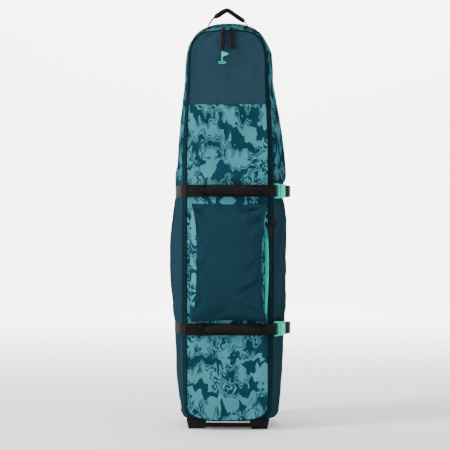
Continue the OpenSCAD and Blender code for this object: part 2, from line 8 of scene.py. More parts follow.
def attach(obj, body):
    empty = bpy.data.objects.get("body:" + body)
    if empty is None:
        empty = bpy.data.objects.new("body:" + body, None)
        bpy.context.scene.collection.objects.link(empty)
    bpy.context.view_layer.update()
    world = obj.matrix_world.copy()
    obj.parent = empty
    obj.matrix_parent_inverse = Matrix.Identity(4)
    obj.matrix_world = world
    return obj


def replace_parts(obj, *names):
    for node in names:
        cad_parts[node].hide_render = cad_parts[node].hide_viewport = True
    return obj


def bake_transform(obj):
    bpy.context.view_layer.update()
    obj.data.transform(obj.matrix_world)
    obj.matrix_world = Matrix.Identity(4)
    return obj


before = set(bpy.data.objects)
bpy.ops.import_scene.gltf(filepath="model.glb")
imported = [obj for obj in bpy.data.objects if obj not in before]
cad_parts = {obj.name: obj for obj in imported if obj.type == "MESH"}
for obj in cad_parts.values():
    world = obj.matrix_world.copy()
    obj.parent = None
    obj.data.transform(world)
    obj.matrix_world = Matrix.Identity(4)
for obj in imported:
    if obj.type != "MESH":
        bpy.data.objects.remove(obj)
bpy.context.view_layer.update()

MM = 0.001
scene = bpy.context.scene

# ---------------------------------------------------------------- camera
CAM_TURN = math.radians(2.0)
CAM_DIST = 5.0
CAM_HEIGHT = 0.648
cam_data = bpy.data.cameras.new("view_camera")
cam_data.lens = 123.5
cam_data.sensor_width = 36.0
cam = bpy.data.objects.new("view_camera", cam_data)
scene.collection.objects.link(cam)
aim = Vector((-0.0122, 0.0, CAM_HEIGHT))
cam.location = aim + CAM_DIST * Vector((math.sin(CAM_TURN), -math.cos(CAM_TURN), 0.0))
cam.rotation_euler = (aim - cam.location).to_track_quat("-Z", "Y").to_euler()
scene.camera = cam


# ---------------------------------------------------------------- node materials
def rgb(code):
    code = code.lstrip("#")
    c = [int(code[i : i + 2], 16) / 255 for i in (0, 2, 4)]
    return [x / 12.92 if x <= 0.04045 else ((x + 0.055) / 1.055) ** 2.4 for x in c] + [1.0]


class Nodes:
    def __init__(self, name):
        self.mat = bpy.data.materials.new(name)
        self.mat.use_nodes = True
        self.tree = self.mat.node_tree
        self.bsdf = self.tree.nodes["Principled BSDF"]

    def add(self, kind, **inputs):
        n = self.tree.nodes.new(kind)
        for k, v in inputs.items():
            key = int(k[1:]) if k[0] == "i" and k[1:].isdigit() else k.replace("_", " ")
            self.put(n.inputs[key], v)
        return n

    def put(self, socket, v):
        if isinstance(v, bpy.types.NodeSocket):
            self.tree.links.new(v, socket)
        else:
            socket.default_value = v

    def math(self, op, a, b=0.0, clamp=False):
        n = self.tree.nodes.new("ShaderNodeMath")
        n.operation = op
        n.use_clamp = clamp
        self.put(n.inputs[0], a)
        self.put(n.inputs[1], b)
        return n.outputs[0]

    def vmath(self, op, a, b):
        n = self.tree.nodes.new("ShaderNodeVectorMath")
        n.operation = op
        self.put(n.inputs[0], a)
        self.put(n.inputs[1], b)
        return n.outputs[0]

    def mix(self, f, a, b):
        n = self.tree.nodes.new("ShaderNodeMix")
        n.data_type = "RGBA"
        self.put(n.inputs[0], f)
        self.put(n.inputs[6], a)
        self.put(n.inputs[7], b)
        return n.outputs[2]

    def uv(self):
        return self.tree.nodes.new("ShaderNodeTexCoord").outputs["UV"]

    def obj(self):
        return self.tree.nodes.new("ShaderNodeTexCoord").outputs["Object"]

    def scaled(self, v, s):
        return self.add("ShaderNodeMapping", Vector=v, Scale=s).outputs[0]

    def noise(self, v, scale, detail=2.0, rough=0.5):
        n = self.add("ShaderNodeTexNoise", Vector=v, Scale=scale, Detail=detail, Roughness=rough)
        return n.outputs[0]

    def split(self, v):
        return self.add("ShaderNodeSeparateXYZ", Vector=v).outputs

    def step(self, x, edge, soft):
        return self.math("ADD", self.math("MULTIPLY", self.math("SUBTRACT", x, edge), 1 / soft), 0.5, True)

    def near(self, x, at, width, soft):
        away = self.math("ABSOLUTE", self.math("SUBTRACT", x, at))
        return self.math("SUBTRACT", 1.0, self.step(away, width, soft), True)

    def bump(self, height, strength, dist, normal=None):
        n = self.add("ShaderNodeBump", Height=height, Strength=strength, Distance=dist)
        if normal is not None:
            self.put(n.inputs["Normal"], normal)
        return n.outputs[0]

    def finish(self, color=None, rough=None, normal=None, metal=None, spec=None):
        b = self.bsdf.inputs
        for key, v in (("Base Color", color), ("Roughness", rough), ("Normal", normal), ("Metallic", metal)):
            if v is not None:
                self.put(b[key], v)
        if spec is not None:
            b["Specular IOR Level"].default_value = spec
        return self.mat


CLOTH_PITCH = 0.0011  # metres from one thread of the weave to the next but one


def weave(n, v, pitch):
    """Plain weave height from UVs in metres."""
    x, y, _ = n.split(n.scaled(v, (1 / pitch, 1 / pitch, 1)))
    a = n.math("SINE", n.math("MULTIPLY", x, math.tau))
    b = n.math("SINE", n.math("MULTIPLY", y, math.tau))
    return n.math("MULTIPLY", a, b)


def cloth_material(name, dark, light, pitch=CLOTH_PITCH):
    n = Nodes(name)
    v = n.uv()
    big = n.noise(v, 7.0, 3.0, 0.55)
    thread = n.noise(n.scaled(v, (1.0, 0.12, 1.0)), 900.0, 2.0)
    thread2 = n.noise(n.scaled(v, (0.12, 1.0, 1.0)), 900.0, 2.0)
    cloud = n.math("MULTIPLY", n.math("SUBTRACT", big, 0.5), 0.9)
    mixf = n.math("ADD", cloud, n.math("MULTIPLY", thread, 0.5))
    mixf = n.math("ADD", mixf, n.math("MULTIPLY", thread2, 0.4), True)
    color = n.mix(mixf, rgb(dark), rgb(light))
    w = weave(n, v, pitch)
    soft = n.noise(v, 38.0, 3.0, 0.6)
    normal = n.bump(w, 0.35, 0.0002, n.bump(soft, 0.35, 0.0025))
    rough = n.math("ADD", 0.72, n.math("MULTIPLY", big, 0.15))
    return n.finish(color, rough, normal, spec=0.0)


def camo_material(name, dark, light, seed=0.0, cover=0.5):
    """Printed cloth: spiky two-tone patches with zigzag outlines, drawn from torn noise."""
    n = Nodes(name)
    v = n.uv()
    p = n.vmath("ADD", v, (seed, seed * 0.37, 0.0))

    def cusp(stretch, scale, offset):
        q = n.vmath("ADD", n.scaled(p, stretch), offset)
        return n.math("ABSOLUTE", n.math("SUBTRACT", n.noise(q, scale, 0.2), 0.5))

    def tear(first, second):
        return n.math("SUBTRACT", cusp(*first), cusp(*second))

    tear_up = tear(((1.0, 0.35, 1.0), 44.0, (0, 0, 0)), ((1.0, 0.45, 1.0), 33.0, (7, 3, 0)))
    tear_side = tear(((0.45, 1.0, 1.0), 46.0, (3, 9, 0)), ((0.45, 1.0, 1.0), 37.0, (5, 1, 0)))
    across, along = n.math("MULTIPLY", tear_side, 0.04), n.math("MULTIPLY", tear_up, 0.1)
    shift = n.add("ShaderNodeCombineXYZ", X=across, Y=along).outputs[0]
    field = n.noise(n.vmath("ADD", p, shift), 22.0, 0.4, 0.4)
    edge = 1.0 - cover
    patch = n.step(field, edge, 0.003)
    busy = n.step(n.noise(p, 11.0, 1.0), 0.46, 0.05)
    light_line = n.near(field, edge - 0.072, 0.022, 0.003)
    dark_line = n.near(field, edge + 0.07, 0.02, 0.003)
    color = n.mix(patch, rgb(dark), rgb(light))
    color = n.mix(n.math("MULTIPLY", light_line, busy), color, rgb(light))
    color = n.mix(n.math("MULTIPLY", dark_line, busy), color, rgb(dark))
    tone = n.noise(v, 6.0, 2.0)
    color = n.mix(n.math("MULTIPLY", tone, 0.16), color, rgb(dark))
    w = weave(n, v, CLOTH_PITCH)
    soft = n.noise(v, 30.0, 3.0, 0.6)
    normal = n.bump(w, 0.3, 0.0002, n.bump(soft, 0.3, 0.0025))
    return n.finish(color, 0.8, normal, spec=0.0)


def webbing_material(name, dark="#0d0d0e", light="#232325", pitch=0.0024):
    """Ribbed webbing: u runs along the strap, v across it, in metres."""
    n = Nodes(name)
    v = n.uv()
    x, y, _ = n.split(v)
    ribs = n.math("SINE", n.math("MULTIPLY", y, math.tau / pitch))
    lean_by = n.math("MULTIPLY", n.math("SIGN", ribs), 1.2)
    slant = n.math("ADD", n.math("MULTIPLY", x, math.tau / 0.0016), lean_by)
    twill = n.math("SINE", slant)
    rib_height = n.math("MULTIPLY", n.math("ABSOLUTE", ribs), 0.8)
    height = n.math("ADD", rib_height, n.math("MULTIPLY", twill, 0.45))
    fuzz = n.noise(v, 1300.0, 2.0)
    mixf = n.math("ADD", n.math("MULTIPLY", height, 0.32), n.math("MULTIPLY", fuzz, 0.45), True)
    wear = n.noise(v, 22.0, 3.0)
    color = n.mix(mixf, rgb(dark), rgb(light))
    color = n.mix(n.math("MULTIPLY", wear, 0.25), color, rgb("#0b0b0c"))
    return n.finish(color, 0.66, n.bump(height, 0.6, 0.0004), spec=0.05)


def plastic_material(name, base, other, rough=0.38, grain=0.3, scale=900.0, spec=0.5):
    n = Nodes(name)
    v = n.obj()
    cloud = n.noise(v, 14.0, 3.0)
    g = n.noise(v, scale, 2.0, 0.6)
    color = n.mix(n.math("MULTIPLY", cloud, 0.8), rgb(base), rgb(other))
    scuff = n.noise(n.scaled(v, (1.0, 6.0, 1.0)), 60.0, 4.0, 0.7)
    r = n.math("ADD", rough, n.math("MULTIPLY", n.math("SUBTRACT", scuff, 0.5), 0.3), True)
    return n.finish(color, r, n.bump(g, grain, 0.00025), spec=spec)


def metal_material(name, base, other, rough=0.3):
    n = Nodes(name)
    v = n.obj()
    streak = n.noise(n.scaled(v, (1.0, 1.0, 12.0)), 260.0, 3.0)
    color = n.mix(streak, rgb(base), rgb(other))
    r = n.math("ADD", rough, n.math("MULTIPLY", streak, 0.2))
    return n.finish(color, r, n.bump(streak, 0.2, 0.0001), metal=1.0)


def cord_material(name):
    """Braided cord: crossed slanting strands, from the place on the object."""
    n = Nodes(name)
    v = n.obj()
    x, y, z = n.split(v)
    around = n.math("MULTIPLY", n.math("ADD", x, y), math.tau / 0.0034)
    a = n.math("SINE", n.math("ADD", n.math("MULTIPLY", z, math.tau / 0.0032), around))
    b = n.math("SINE", n.math("SUBTRACT", n.math("MULTIPLY", z, math.tau / 0.0032), around))
    braid = n.math("MAXIMUM", a, b)
    fleck = n.noise(v, 520.0, 2.0, 0.6)
    f = n.math("MULTIPLY", n.step(fleck, 0.58, 0.08), 0.6)
    color = n.mix(f, rgb("#120e0e"), rgb("#4c4544"))
    return n.finish(color, 0.8, n.bump(braid, 0.8, 0.0007), spec=0.08)


teal_lid = cloth_material("teal_lid_cloth", "#1d2f3a", "#253f4c")
teal_side = cloth_material("teal_side_cloth", "#1a2d36", "#203842")
teal_pocket = cloth_material("teal_pocket_cloth", "#152a34", "#1b3642")
teal_band = cloth_material("teal_band_cloth", "#0e1e25", "#13272f")
tape_dark = cloth_material("zip_tape_cloth", "#091a20", "#10262d", 0.0009)
camo_lid = camo_material("camo_lid_cloth", "#163440", "#42808a", 5.0, 0.5)
camo_side = camo_material("camo_side_cloth", "#132d38", "#3a6f79", 3.0, 0.47)
lining_cloth = cloth_material("lining_cloth", "#2b3235", "#454e52", 0.0015)
webbing = webbing_material("black_webbing")
webbing_fine = webbing_material("black_webbing_fine", "#0c0c0d", "#222325", 0.0018)
stitch_material = cloth_material("stitch_thread", "#0b0b0b", "#3c3c3c", 0.0006)
teal_thread = cloth_material("teal_thread", "#10252c", "#2b5460", 0.0006)
mint_plastic = plastic_material("mint_moulded_plastic", "#08c9b1", "#08bda6", 0.36, 0.15, spec=0.15)
# a darker copy of the mint plastic: painted shade, for the buckle's recessed bars and the latch arms
mint_painted_shade = plastic_material("mint_plastic_painted_shade", "#0b7664", "#076453", 0.4, 0.2, spec=0.15)
mint_tape = cloth_material("mint_zip_tape", "#14ae98", "#26c3ac", 0.0009)
mint_badge = cloth_material("mint_badge_thread", "#33ae9e", "#48c2b1", 0.0008)
black_plastic = plastic_material("black_moulded_plastic", "#070808", "#0c0d0d", 0.45, 0.7, 700.0, 0.15)
board_plastic = plastic_material("board_plastic", "#1a1b1c", "#232425", 0.6, 0.5, spec=0.2)
hub_plastic = plastic_material("hub_plastic", "#55595c", "#3d4144", 0.4, 0.3)
rubber = plastic_material("tyre_rubber", "#141414", "#1d1d1d", 0.75, 0.9, 500.0, 0.3)
steel = metal_material("plated_steel", "#8e9294", "#b9bdbf")
slider_metal = metal_material("black_slider_metal", "#1d1e1f", "#2c2d2e", 0.32)
cord_braid = cord_material("braided_cord")


# ---------------------------------------------------------------- the case's outline
# Sizes of the case are in mm. Tables give a value against height z, or against depth t, 0 at the zip and 1 at
# the back.
ZIP_Y, BACK_Y = -104.0, 166.0
BASE_Z, CROWN_Z, SHOULDER_Z, SLOPE_Y = 30.0, 1304.0, 1115.0, 90.0
LID_HALF_W, BODY_HALF_W = 130.0, 190.0
RIM_Y, LID_CROWN, ZIP_TOP = -128.0, 6.0, 1261.0
UPPER_Z, LOWER_Z = 756.0, 319.0
SIDE_SEAM_Z, LID_SEAM_Z = 785.0, 1028.0
WALL_T0 = 0.06
WEBBING_W = 38
FRONT_W = [(30, -8), (52, -3), (85, 0), (900, 0), (1115, -9)]
MIDDLE_W = [
    (30, -38), (55, -28), (98, -21), (157, -17), (234, -14), (300, -15), (338, -15), (350, -12),
    (408, -4), (486, 0),
    (564, -2), (641, -5), (712, -12), (737, -18), (775, -18), (800, -10), (893, -15), (975, -22),
    (1048, -32), (1115, -43),
]
BULGE = [
    (0, 0), (0.05, 0.24), (0.12, 0.47), (0.25, 0.75), (0.4, 0.94), (0.5, 1), (0.62, 0.99), (0.78, 0.9),
    (0.9, 0.74), (0.96, 0.58), (1, 0.36),
]
CROWN = [(0, -43), (0.15, -26), (0.3, -10), (0.5, 0), (0.8, -4), (1, -18)]
ARCH = [(0, 3.8), (0.15, 3.2), (0.4, 2.6), (1, 2.8)]
CORNER = [(0, 40), (0.2, 20), (1, 16)]


def lookup(x, table):
    if x <= table[0][0]:
        return table[0][1]
    for (x0, y0), (x1, y1) in zip(table, table[1:]):
        if x <= x1:
            return y0 + (y1 - y0) * (x - x0) / (x1 - x0)
    return table[-1][1]


def smooth(x, table, reach):
    """The table's value averaged over a short reach, so that it has no corners."""
    lo, hi = table[0][0], table[-1][0]
    reach = min(reach, x - lo, hi - x) if lo < x < hi else 0
    weights = zip(range(-3, 4), (1, 2, 3, 4, 3, 2, 1))
    return sum(lookup(x + reach * k / 3, table) * w for k, w in weights) / 16


def lerp(a, b, f):
    return a + (b - a) * f


def depth_y(t):
    return lerp(ZIP_Y, BACK_Y, t)


def half_w(z, t):
    wide = BODY_HALF_W + smooth(z, MIDDLE_W, 28)
    return lerp(LID_HALF_W + smooth(z, FRONT_W, 40), wide, smooth(t, BULGE, 0.04))


N_BOTTOM, N_CORNER, N_SIDE, N_ARCH = 8, 14, 150, 34
I_SIDE = N_BOTTOM + N_CORNER
I_ARCH = I_SIDE + N_SIDE


def half_outline(t, d):
    r, p = lookup(t, CORNER), smooth(t, ARCH, 0.05)
    low = BASE_Z + max(0.0, depth_y(t) - SLOPE_Y)
    zb, wb = low + d, half_w(low + r, t) - d
    ws, h = half_w(SHOULDER_Z, t) - d, CROWN_Z + smooth(t, CROWN, 0.05) - d - SHOULDER_Z
    wide_r = lerp(88.0, r, min(1.0, t / 0.08))
    pts = [((wb - wide_r) * k / N_BOTTOM, zb) for k in range(N_BOTTOM)]
    for k in range(N_CORNER):
        a = math.pi / 2 * k / N_CORNER
        pts.append((wb - wide_r + wide_r * math.sin(a), zb + r - r * math.cos(a)))
    z0 = zb + r
    for k in range(N_SIDE):
        z = lerp(z0, SHOULDER_Z, k / N_SIDE)
        pts.append((half_w(z, t) - d, z))
    for k in range(N_ARCH):
        a = math.pi / 2 * k / (N_ARCH - 1)
        pts.append((ws * max(math.cos(a), 0.0) ** (2 / p), SHOULDER_Z + h * math.sin(a) ** (2 / p)))
    return pts


def outline(t, d):
    h = half_outline(t, d)
    return h + [(-x, z) for x, z in reversed(h[1:-1])]


# ---------------------------------------------------------------- mesh helpers
def new_object(name, mesh, body, material, *replaced):
    o = bpy.data.objects.new(name, mesh)
    scene.collection.objects.link(o)
    mesh.materials.clear()
    mesh.materials.append(material)
    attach(o, body)
    if replaced:
        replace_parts(o, *replaced)
    return o


def grid_mesh(name, rows, closed=False, flip=False):
    """rows of points in mm; UVs are lengths in metres along and up the grid."""
    n, m = len(rows), len(rows[0])
    verts = [Vector(p) * MM for row in rows for p in row]
    faces = []
    for r in range(n - 1):
        for c in range(m if closed else m - 1):
            c1 = (c + 1) % m
            q = (r * m + c, r * m + c1, (r + 1) * m + c1, (r + 1) * m + c)
            faces.append(q[::-1] if flip else q)
    mesh = bpy.data.meshes.new(name)
    mesh.from_pydata(verts, [], faces)
    mid_r, mid_c = n // 2, m // 2
    us, vs = [0.0], [0.0]
    for c in range(1, m + 1):
        us.append(us[-1] + (verts[mid_r * m + c % m] - verts[mid_r * m + c - 1]).length)
    for r in range(1, n):
        vs.append(vs[-1] + (verts[r * m + mid_c] - verts[(r - 1) * m + mid_c]).length)
    layer = mesh.uv_layers.new(name="UVMap")
    for poly in mesh.polygons:
        for li in poly.loop_indices:
            vi = mesh.loops[li].vertex_index
            r, c = divmod(vi, m)
            u = us[m] if closed and c == 0 and poly.vertices[0] % m == m - 1 else us[c]
            layer.data[li].uv = (u, vs[r])
        poly.use_smooth = True
    return mesh


def uv_from(o, fn):
    mesh = o.data
    layer = mesh.uv_layers[0] if mesh.uv_layers else mesh.uv_layers.new(name="UVMap")
    for loop in mesh.loops:
        layer.data[loop.index].uv = fn(mesh.vertices[loop.vertex_index].co)


def face_on(co):
    return (co.x, co.z)


def solidify(o, t, offset=-1.0):
    m = o.modifiers.new("thick", "SOLIDIFY")
    m.thickness = t * MM
    m.offset = offset


def subdivide(o):
    m = o.modifiers.new("smooth", "SUBSURF")
    m.levels = m.render_levels = 1


def bevel(o, width, segments, angle=30, harden=True):
    m = o.modifiers.new("edges", "BEVEL")
    m.width = width * MM
    m.segments = segments
    m.limit_method = "ANGLE"
    m.angle_limit = math.radians(angle)
    m.harden_normals = harden


def sheet(name, rows, body, material, *nodes, uv=face_on, thick=1.6, fill=None, flip=False):
    """A thickened cloth surface from rows of points; fill is not used."""
    o = new_object(name, grid_mesh(name, rows, flip=flip), body, material, *nodes)
    uv_from(o, uv)
    solidify(o, thick)
    return o


def tube_rows(path, radii, up=(0, 0, 1), sides=12, closed=False):
    """Rings round a path; radii are one (side, up) pair or one for each point."""
    pts = [Vector(p) for p in path]
    n = len(pts)
    rows = []
    for i, p in enumerate(pts):
        if closed:
            a, b = pts[i - 1], pts[(i + 1) % n]
        else:
            a, b = pts[max(i - 1, 0)], pts[min(i + 1, n - 1)]
        d = (b - a).normalized()
        side = d.cross(Vector(up)).normalized()
        top = side.cross(d).normalized()
        r = radii[i] if isinstance(radii[0], (tuple, list)) else radii
        angles = [math.tau * k / sides for k in range(sides)]
        rows.append([p + side * (r[0] * math.cos(q)) + top * (r[1] * math.sin(q)) for q in angles])
    if closed:
        rows.append(rows[0])
    return rows


def close_ends(mesh, sides):
    """Closes a tube's first and last rings with a face each."""
    bm = bmesh.new()
    bm.from_mesh(mesh)
    bm.verts.ensure_lookup_table()
    last = len(bm.verts) - sides
    bm.faces.new([bm.verts[k] for k in range(sides)][::-1])
    bm.faces.new([bm.verts[last + k] for k in range(sides)])
    bm.to_mesh(mesh)
    bm.free()


def tube_mesh(name, path, radii, up=(0, 0, 1), sides=12, closed=False):
    mesh = grid_mesh(name, tube_rows(path, radii, up, sides, closed), closed=True)
    if not closed:
        close_ends(mesh, sides)
        return mesh
    bm = bmesh.new()
    bm.from_mesh(mesh)
    bmesh.ops.remove_doubles(bm, verts=bm.verts, dist=1e-6)
    bm.to_mesh(mesh)
    bm.free()
    return mesh


def mesh_from(bm, name, smooth=False):
    """A new mesh from a finished bmesh."""
    mesh = bpy.data.meshes.new(name)
    bm.to_mesh(mesh)
    bm.free()
    for p in mesh.polygons:
        p.use_smooth = smooth
    return mesh


def rolled_rows(path, radii, sides, grooves, ripple):
    """Tube rings with sewn grooves (depth, angle, width) and ripples (amount, along, round, seed)."""
    amount, along, around, seed = ripple
    shaped = []
    for c, row in zip(path, tube_rows(path, radii, (0, 0, 1), sides)):
        new = []
        for k, p in enumerate(row):
            a = math.tau * k / sides
            cut = sum(depth * math.exp(-(((a - at) / wide) ** 2)) for depth, at, wide in grooves)
            wave = amount * noise.noise(Vector((c[0] * along, a * around, seed)))
            new.append(c + (p - c) * (1 - cut + wave))
        shaped.append(new)
    return shaped


def swap_uvs(mesh):
    """Turns a tube's UVs so that u runs along it, as the webbing material needs."""
    for item in mesh.uv_layers[0].data:
        item.uv = (item.uv[1], item.uv[0])


def spline(points, per=8, closed=False):
    """Catmull-Rom curve through the points."""
    pts = [Vector(p) for p in points]
    n = len(pts)
    out = []
    for i in range(n if closed else n - 1):
        p = [pts[(i + k) % n] if closed else pts[min(max(i + k, 0), n - 1)] for k in (-1, 0, 1, 2)]
        for s in range(per):
            t = s / per
            square = (2 * p[0] - 5 * p[1] + 4 * p[2] - p[3]) * t * t
            cube = (3 * p[1] - p[0] - 3 * p[2] + p[3]) * t ** 3
            out.append(0.5 * (2 * p[1] + (p[2] - p[0]) * t + square + cube))
    if not closed:
        out.append(pts[-1])
    return out


def bevelled_copy(node, name, body, material, width=0.6, segments=2, angle=35):
    """A CAD node's shape with its flat faces joined and its edges rounded."""
    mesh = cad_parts[node].data.copy()
    bm = bmesh.new()
    bm.from_mesh(mesh)
    bmesh.ops.remove_doubles(bm, verts=bm.verts, dist=2e-6)
    bmesh.ops.dissolve_limit(bm, angle_limit=math.radians(2), verts=bm.verts, edges=bm.edges)
    bm.to_mesh(mesh)
    bm.free()
    for p in mesh.polygons:
        p.use_smooth = True
    bevel(new_object(name, mesh, body, material, node), width, segments, angle)


def simulate(o, pinned, pressure=3.0, frames=18, grow=0.02, cap=6.0, stiff=12.0, bend=1.5):
    """Cloth settled under a little air pressure, with its seams held, then kept as the mesh."""
    rest = [v.co.copy() for v in o.data.vertices]
    group = o.vertex_groups.new(name="held")
    group.add(list(pinned), 1.0, "REPLACE")
    m = o.modifiers.new("cloth", "CLOTH")
    s = m.settings
    s.quality = 5
    s.mass = 0.25
    s.tension_stiffness = s.compression_stiffness = stiff
    s.shear_stiffness = stiff * 0.5
    s.bending_stiffness = bend
    s.air_damping = 4.0
    s.use_pressure = True
    s.uniform_pressure_force = pressure
    s.vertex_group_mass = "held"
    s.shrink_min = -grow
    s.effector_weights.gravity = 0.0
    m.collision_settings.use_collision = False
    m.collision_settings.use_self_collision = False
    for f in range(1, frames + 1):
        scene.frame_set(f)
    got = o.evaluated_get(bpy.context.evaluated_depsgraph_get()).to_mesh()
    new = [v.co.copy() for v in got.vertices]
    o.evaluated_get(bpy.context.evaluated_depsgraph_get()).to_mesh_clear()
    o.modifiers.remove(m)
    scene.frame_set(1)
    limit = cap * MM
    for v, a, b in zip(o.data.vertices, rest, new):
        d = b - a
        if d.length > 1e-9:
            d *= math.tanh(d.length / limit) * limit / d.length
        v.co = a + d
    o.vertex_groups.clear()


# ---------------------------------------------------------------- cords first
CORD_R = 2.8


def strand(name, body, route, shift, node):
    pts = [Vector(p) + Vector(shift) for p in spline(route, 4)]
    data = bpy.data.curves.new(name, "CURVE")
    data.dimensions = "3D"
    data.bevel_depth = CORD_R * MM
    data.bevel_resolution = 4
    data.use_fill_caps = True
    sp = data.splines.new("POLY")
    sp.points.add(len(pts) - 1)
    for q, p in zip(sp.points, pts):
        q.co = (*(p * MM), 1.0)
    data.materials.append(cord_braid)
    o = bpy.data.objects.new(name, data)
    scene.collection.objects.link(o)
    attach(o, body)
    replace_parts(o, node)


def knot(name, body, at, size, turn):
    """A tight overhand knot."""
    pts = []
    for k in range(60):
        a = math.tau * k / 60
        pts.append(Vector((
            (math.sin(a) + 2 * math.sin(2 * a)) / 3,
            -math.sin(3 * a) * 0.34,
            (math.cos(a) - 2 * math.cos(2 * a)) / 3 * 1.15,
        )))
    c, s = math.cos(turn), math.sin(turn)
    pts = [Vector((p.x * c - p.z * s, p.y, p.x * s + p.z * c)) * size * 0.62 + Vector(at) for p in pts]
    mesh = tube_mesh(name, pts, (CORD_R, CORD_R), (0.1, 1, 0.05), 10, closed=True)
    return new_object(name, mesh, body, cord_braid)


MAIN_ROUTE = [
    (0, -2, 7.2), (0, -9, 9.6), (0, -18, 10.2), (0, -27, 8.4), (0, -33, 2), (0, -35, -5), (0, -35.2, -14),
    (0, -35.4, -24), (0, -36, -34), (0, -37.2, -43), (0, -38.6, -50),
]
UPPER_ROUTE = [(0, -10, 0), (6, -11.5, 2), (12, -12.5, 0), (18, -13, -6), (23, -13, -14), (27, -13, -22)]
LOWER_ROUTE = [
    (2.6, -10, -1), (6, -11.5, -4), (9, -12.5, -12), (11, -13, -22), (12, -13, -32), (12, -13, -38),
]
ZIP_X, POCKET_ZIP_Y = 121.5, -129.5
pulls = []
for name, x, lean in (("main_left", -12, 0.4), ("main_right", 12, -0.7)):
    route = [(x + lean * (p[2] - 6) / 10, ZIP_Y + p[1], ZIP_TOP + p[2]) for p in MAIN_ROUTE]
    pulls.append((name, route, (x, ZIP_Y - 2.0, ZIP_TOP + 7.2), "main_cord_" + name[5:]))
for name, z, pts in (("pocket_upper", 676, UPPER_ROUTE), ("pocket_lower", 652, LOWER_ROUTE)):
    route = [(ZIP_X + p[0], POCKET_ZIP_Y + p[1], z + p[2]) for p in pts]
    pulls.append((name, route, (ZIP_X, POCKET_ZIP_Y - 8, z), "pocket_cord_" + name[7:]))
for k, (name, route, exit_at, node) in enumerate(pulls):
    end, before = Vector(route[-1]), Vector(route[-2])
    tie = knot(name + "_knot", name, end + (end - before).normalized() * 4.0, 6.8, 0.5 + k)
    strand(name + "_strand_a", name, route, (-3, 0, 0), node)
    strand(name + "_strand_b", name, route, (3, 0, 0), node)


def border(n, m):
    """The numbers of a grid's outer points."""
    return {r * m + c for r in range(n) for c in range(m) if r in (0, n - 1) or c in (0, m - 1)}


def under_strap(z, reach):
    return abs(z - UPPER_Z) < reach or abs(z - LOWER_Z) < reach


# ---------------------------------------------------------------- padded body panels
def fold(p, amount, seed, scale=(9.0, 9.0, 3.5)):
    """Soft upright folds in mm at a place in mm."""
    q = Vector((p[0] * scale[0], p[1] * scale[1], p[2] * scale[2])) * MM + Vector((seed, seed * 2.1, 0))
    return amount * noise.noise(q)


def strap_pinch(z):
    """1 under a strap, falling to 0 away from it."""
    return min(1.0, 1.6 * sum(math.exp(-(((z - c) / 30.0) ** 2)) for c in (UPPER_Z, LOWER_Z)))


def lean(z, t):
    """How far the soft wall sits towards the buckles, away from the straps and seams."""
    high = max(0.0, min(1.0, (z - 540) / 120, (1110 - z) / 110))
    deep = min(max(t - WALL_T0, 0) / (1 - WALL_T0), 1)
    return 4.0 * high * (1 - strap_pinch(z)) * max(0.0, math.sin(math.pi * deep)) ** 0.5


def creases(x, z, lines):
    """Height of the creases at a place. Each is a line between two places, a width and a height."""
    total = 0.0
    for x0, z0, x1, z1, w, amp in lines:
        dx, dz = x1 - x0, z1 - z0
        a = ((x - x0) * dx + (z - z0) * dz) / (dx * dx + dz * dz)
        if -0.1 < a < 1.1:
            d = abs((x - x0) * dz - (z - z0) * dx) / math.hypot(dx, dz)
            total += amp * math.exp(-((d / w) ** 2)) * math.sin(math.pi * (a + 0.1) / 1.2)
    return total


SIDE_FOLDS = [
    (-88, 735, -58, 600, 7, 5.0), (-72, 735, -24, 620, 8, -4.5), (-50, 735, 10, 640, 9, 3.5),
    (-90, 705, -80, 520, 6, -4.5), (-66, 600, -76, 450, 8, 3.5), (-88, 340, -62, 480, 7, 5.0),
    (-74, 340, -30, 460, 8, -4.5), (-90, 390, -84, 560, 6, -3.5), (-40, 340, 20, 440, 9, 3.5),
    (-88, 300, -60, 170, 7, 5.0), (-72, 300, -30, 190, 8, -4.5), (-86, 250, -80, 90, 6, -3.5),
    (-50, 300, 0, 200, 9, 3.0), (-88, 70, -50, 170, 7, 4.5), (-76, 55, -30, 120, 7, -4.0),
    (-20, 70, 20, 200, 10, 3.0), (-60, 700, -40, 560, 7, 3.0), (-10, 720, 40, 560, 11, 3.0),
    (60, 700, 60, 520, 14, 3.0), (70, 350, 60, 500, 14, -3.0),
]


def case_panel(name, first, last, n_t, material, node, sign, wrinkle, seed):
    """A stretch of the wall, from front to back, between two places on the outline."""
    rows = []
    for j in range(n_t + 1):
        t = lerp(WALL_T0, 1.0, j / n_t)
        h = half_outline(t, 0.0)
        nxt = half_outline(t, -1.0)
        row = []
        for i in range(first, last + 1):
            (x, z), (x1, z1) = h[i], nxt[i]
            y = depth_y(t)
            edge = min(1.0, 4 * (i - first) / 30, 4 * (last - i) / 30)
            edge *= min(1.0, 5 * (t - WALL_T0), 6 * (1.0 - t))
            f = fold((x, y, z), wrinkle, seed) * max(edge, 0.0)
            f += 0.35 * fold((x, y, z), wrinkle, seed + 5, (26, 26, 9)) * max(edge, 0.0)
            f *= 1 - strap_pinch(z)
            row.append((sign * (x + (x1 - x) * f) + lean(z, t), y, z + (z1 - z) * f))
        rows.append(row)
    mesh = grid_mesh(name, rows, flip=(sign < 0))
    o = new_object(name, mesh, "case", material, node)
    n, m = len(rows), len(rows[0])
    held = border(n, m)
    for r in range(n):
        held.update(r * m + c for c in range(m) if under_strap(rows[r][c][2], 24))
    simulate(o, held, 2.2, 16, 0.012, 5.0)
    for v in mesh.vertices:
        r, c = divmod(v.index, m)
        y, z = v.co.y / MM, v.co.z / MM
        near = max(0.0, min(1.0, r / 2, 6 * (n - 1 - r) / n, c / 5, (m - 1 - c) / 5)) * (1 - strap_pinch(z))
        v.co.x += sign * 1.1 * near * creases(y + 3 * sign, z + 9 * sign, SIDE_FOLDS) * MM
    uv_from(o, lambda co: (co.y + sign * co.x * 0.6, co.z))
    solidify(o, 1.6)


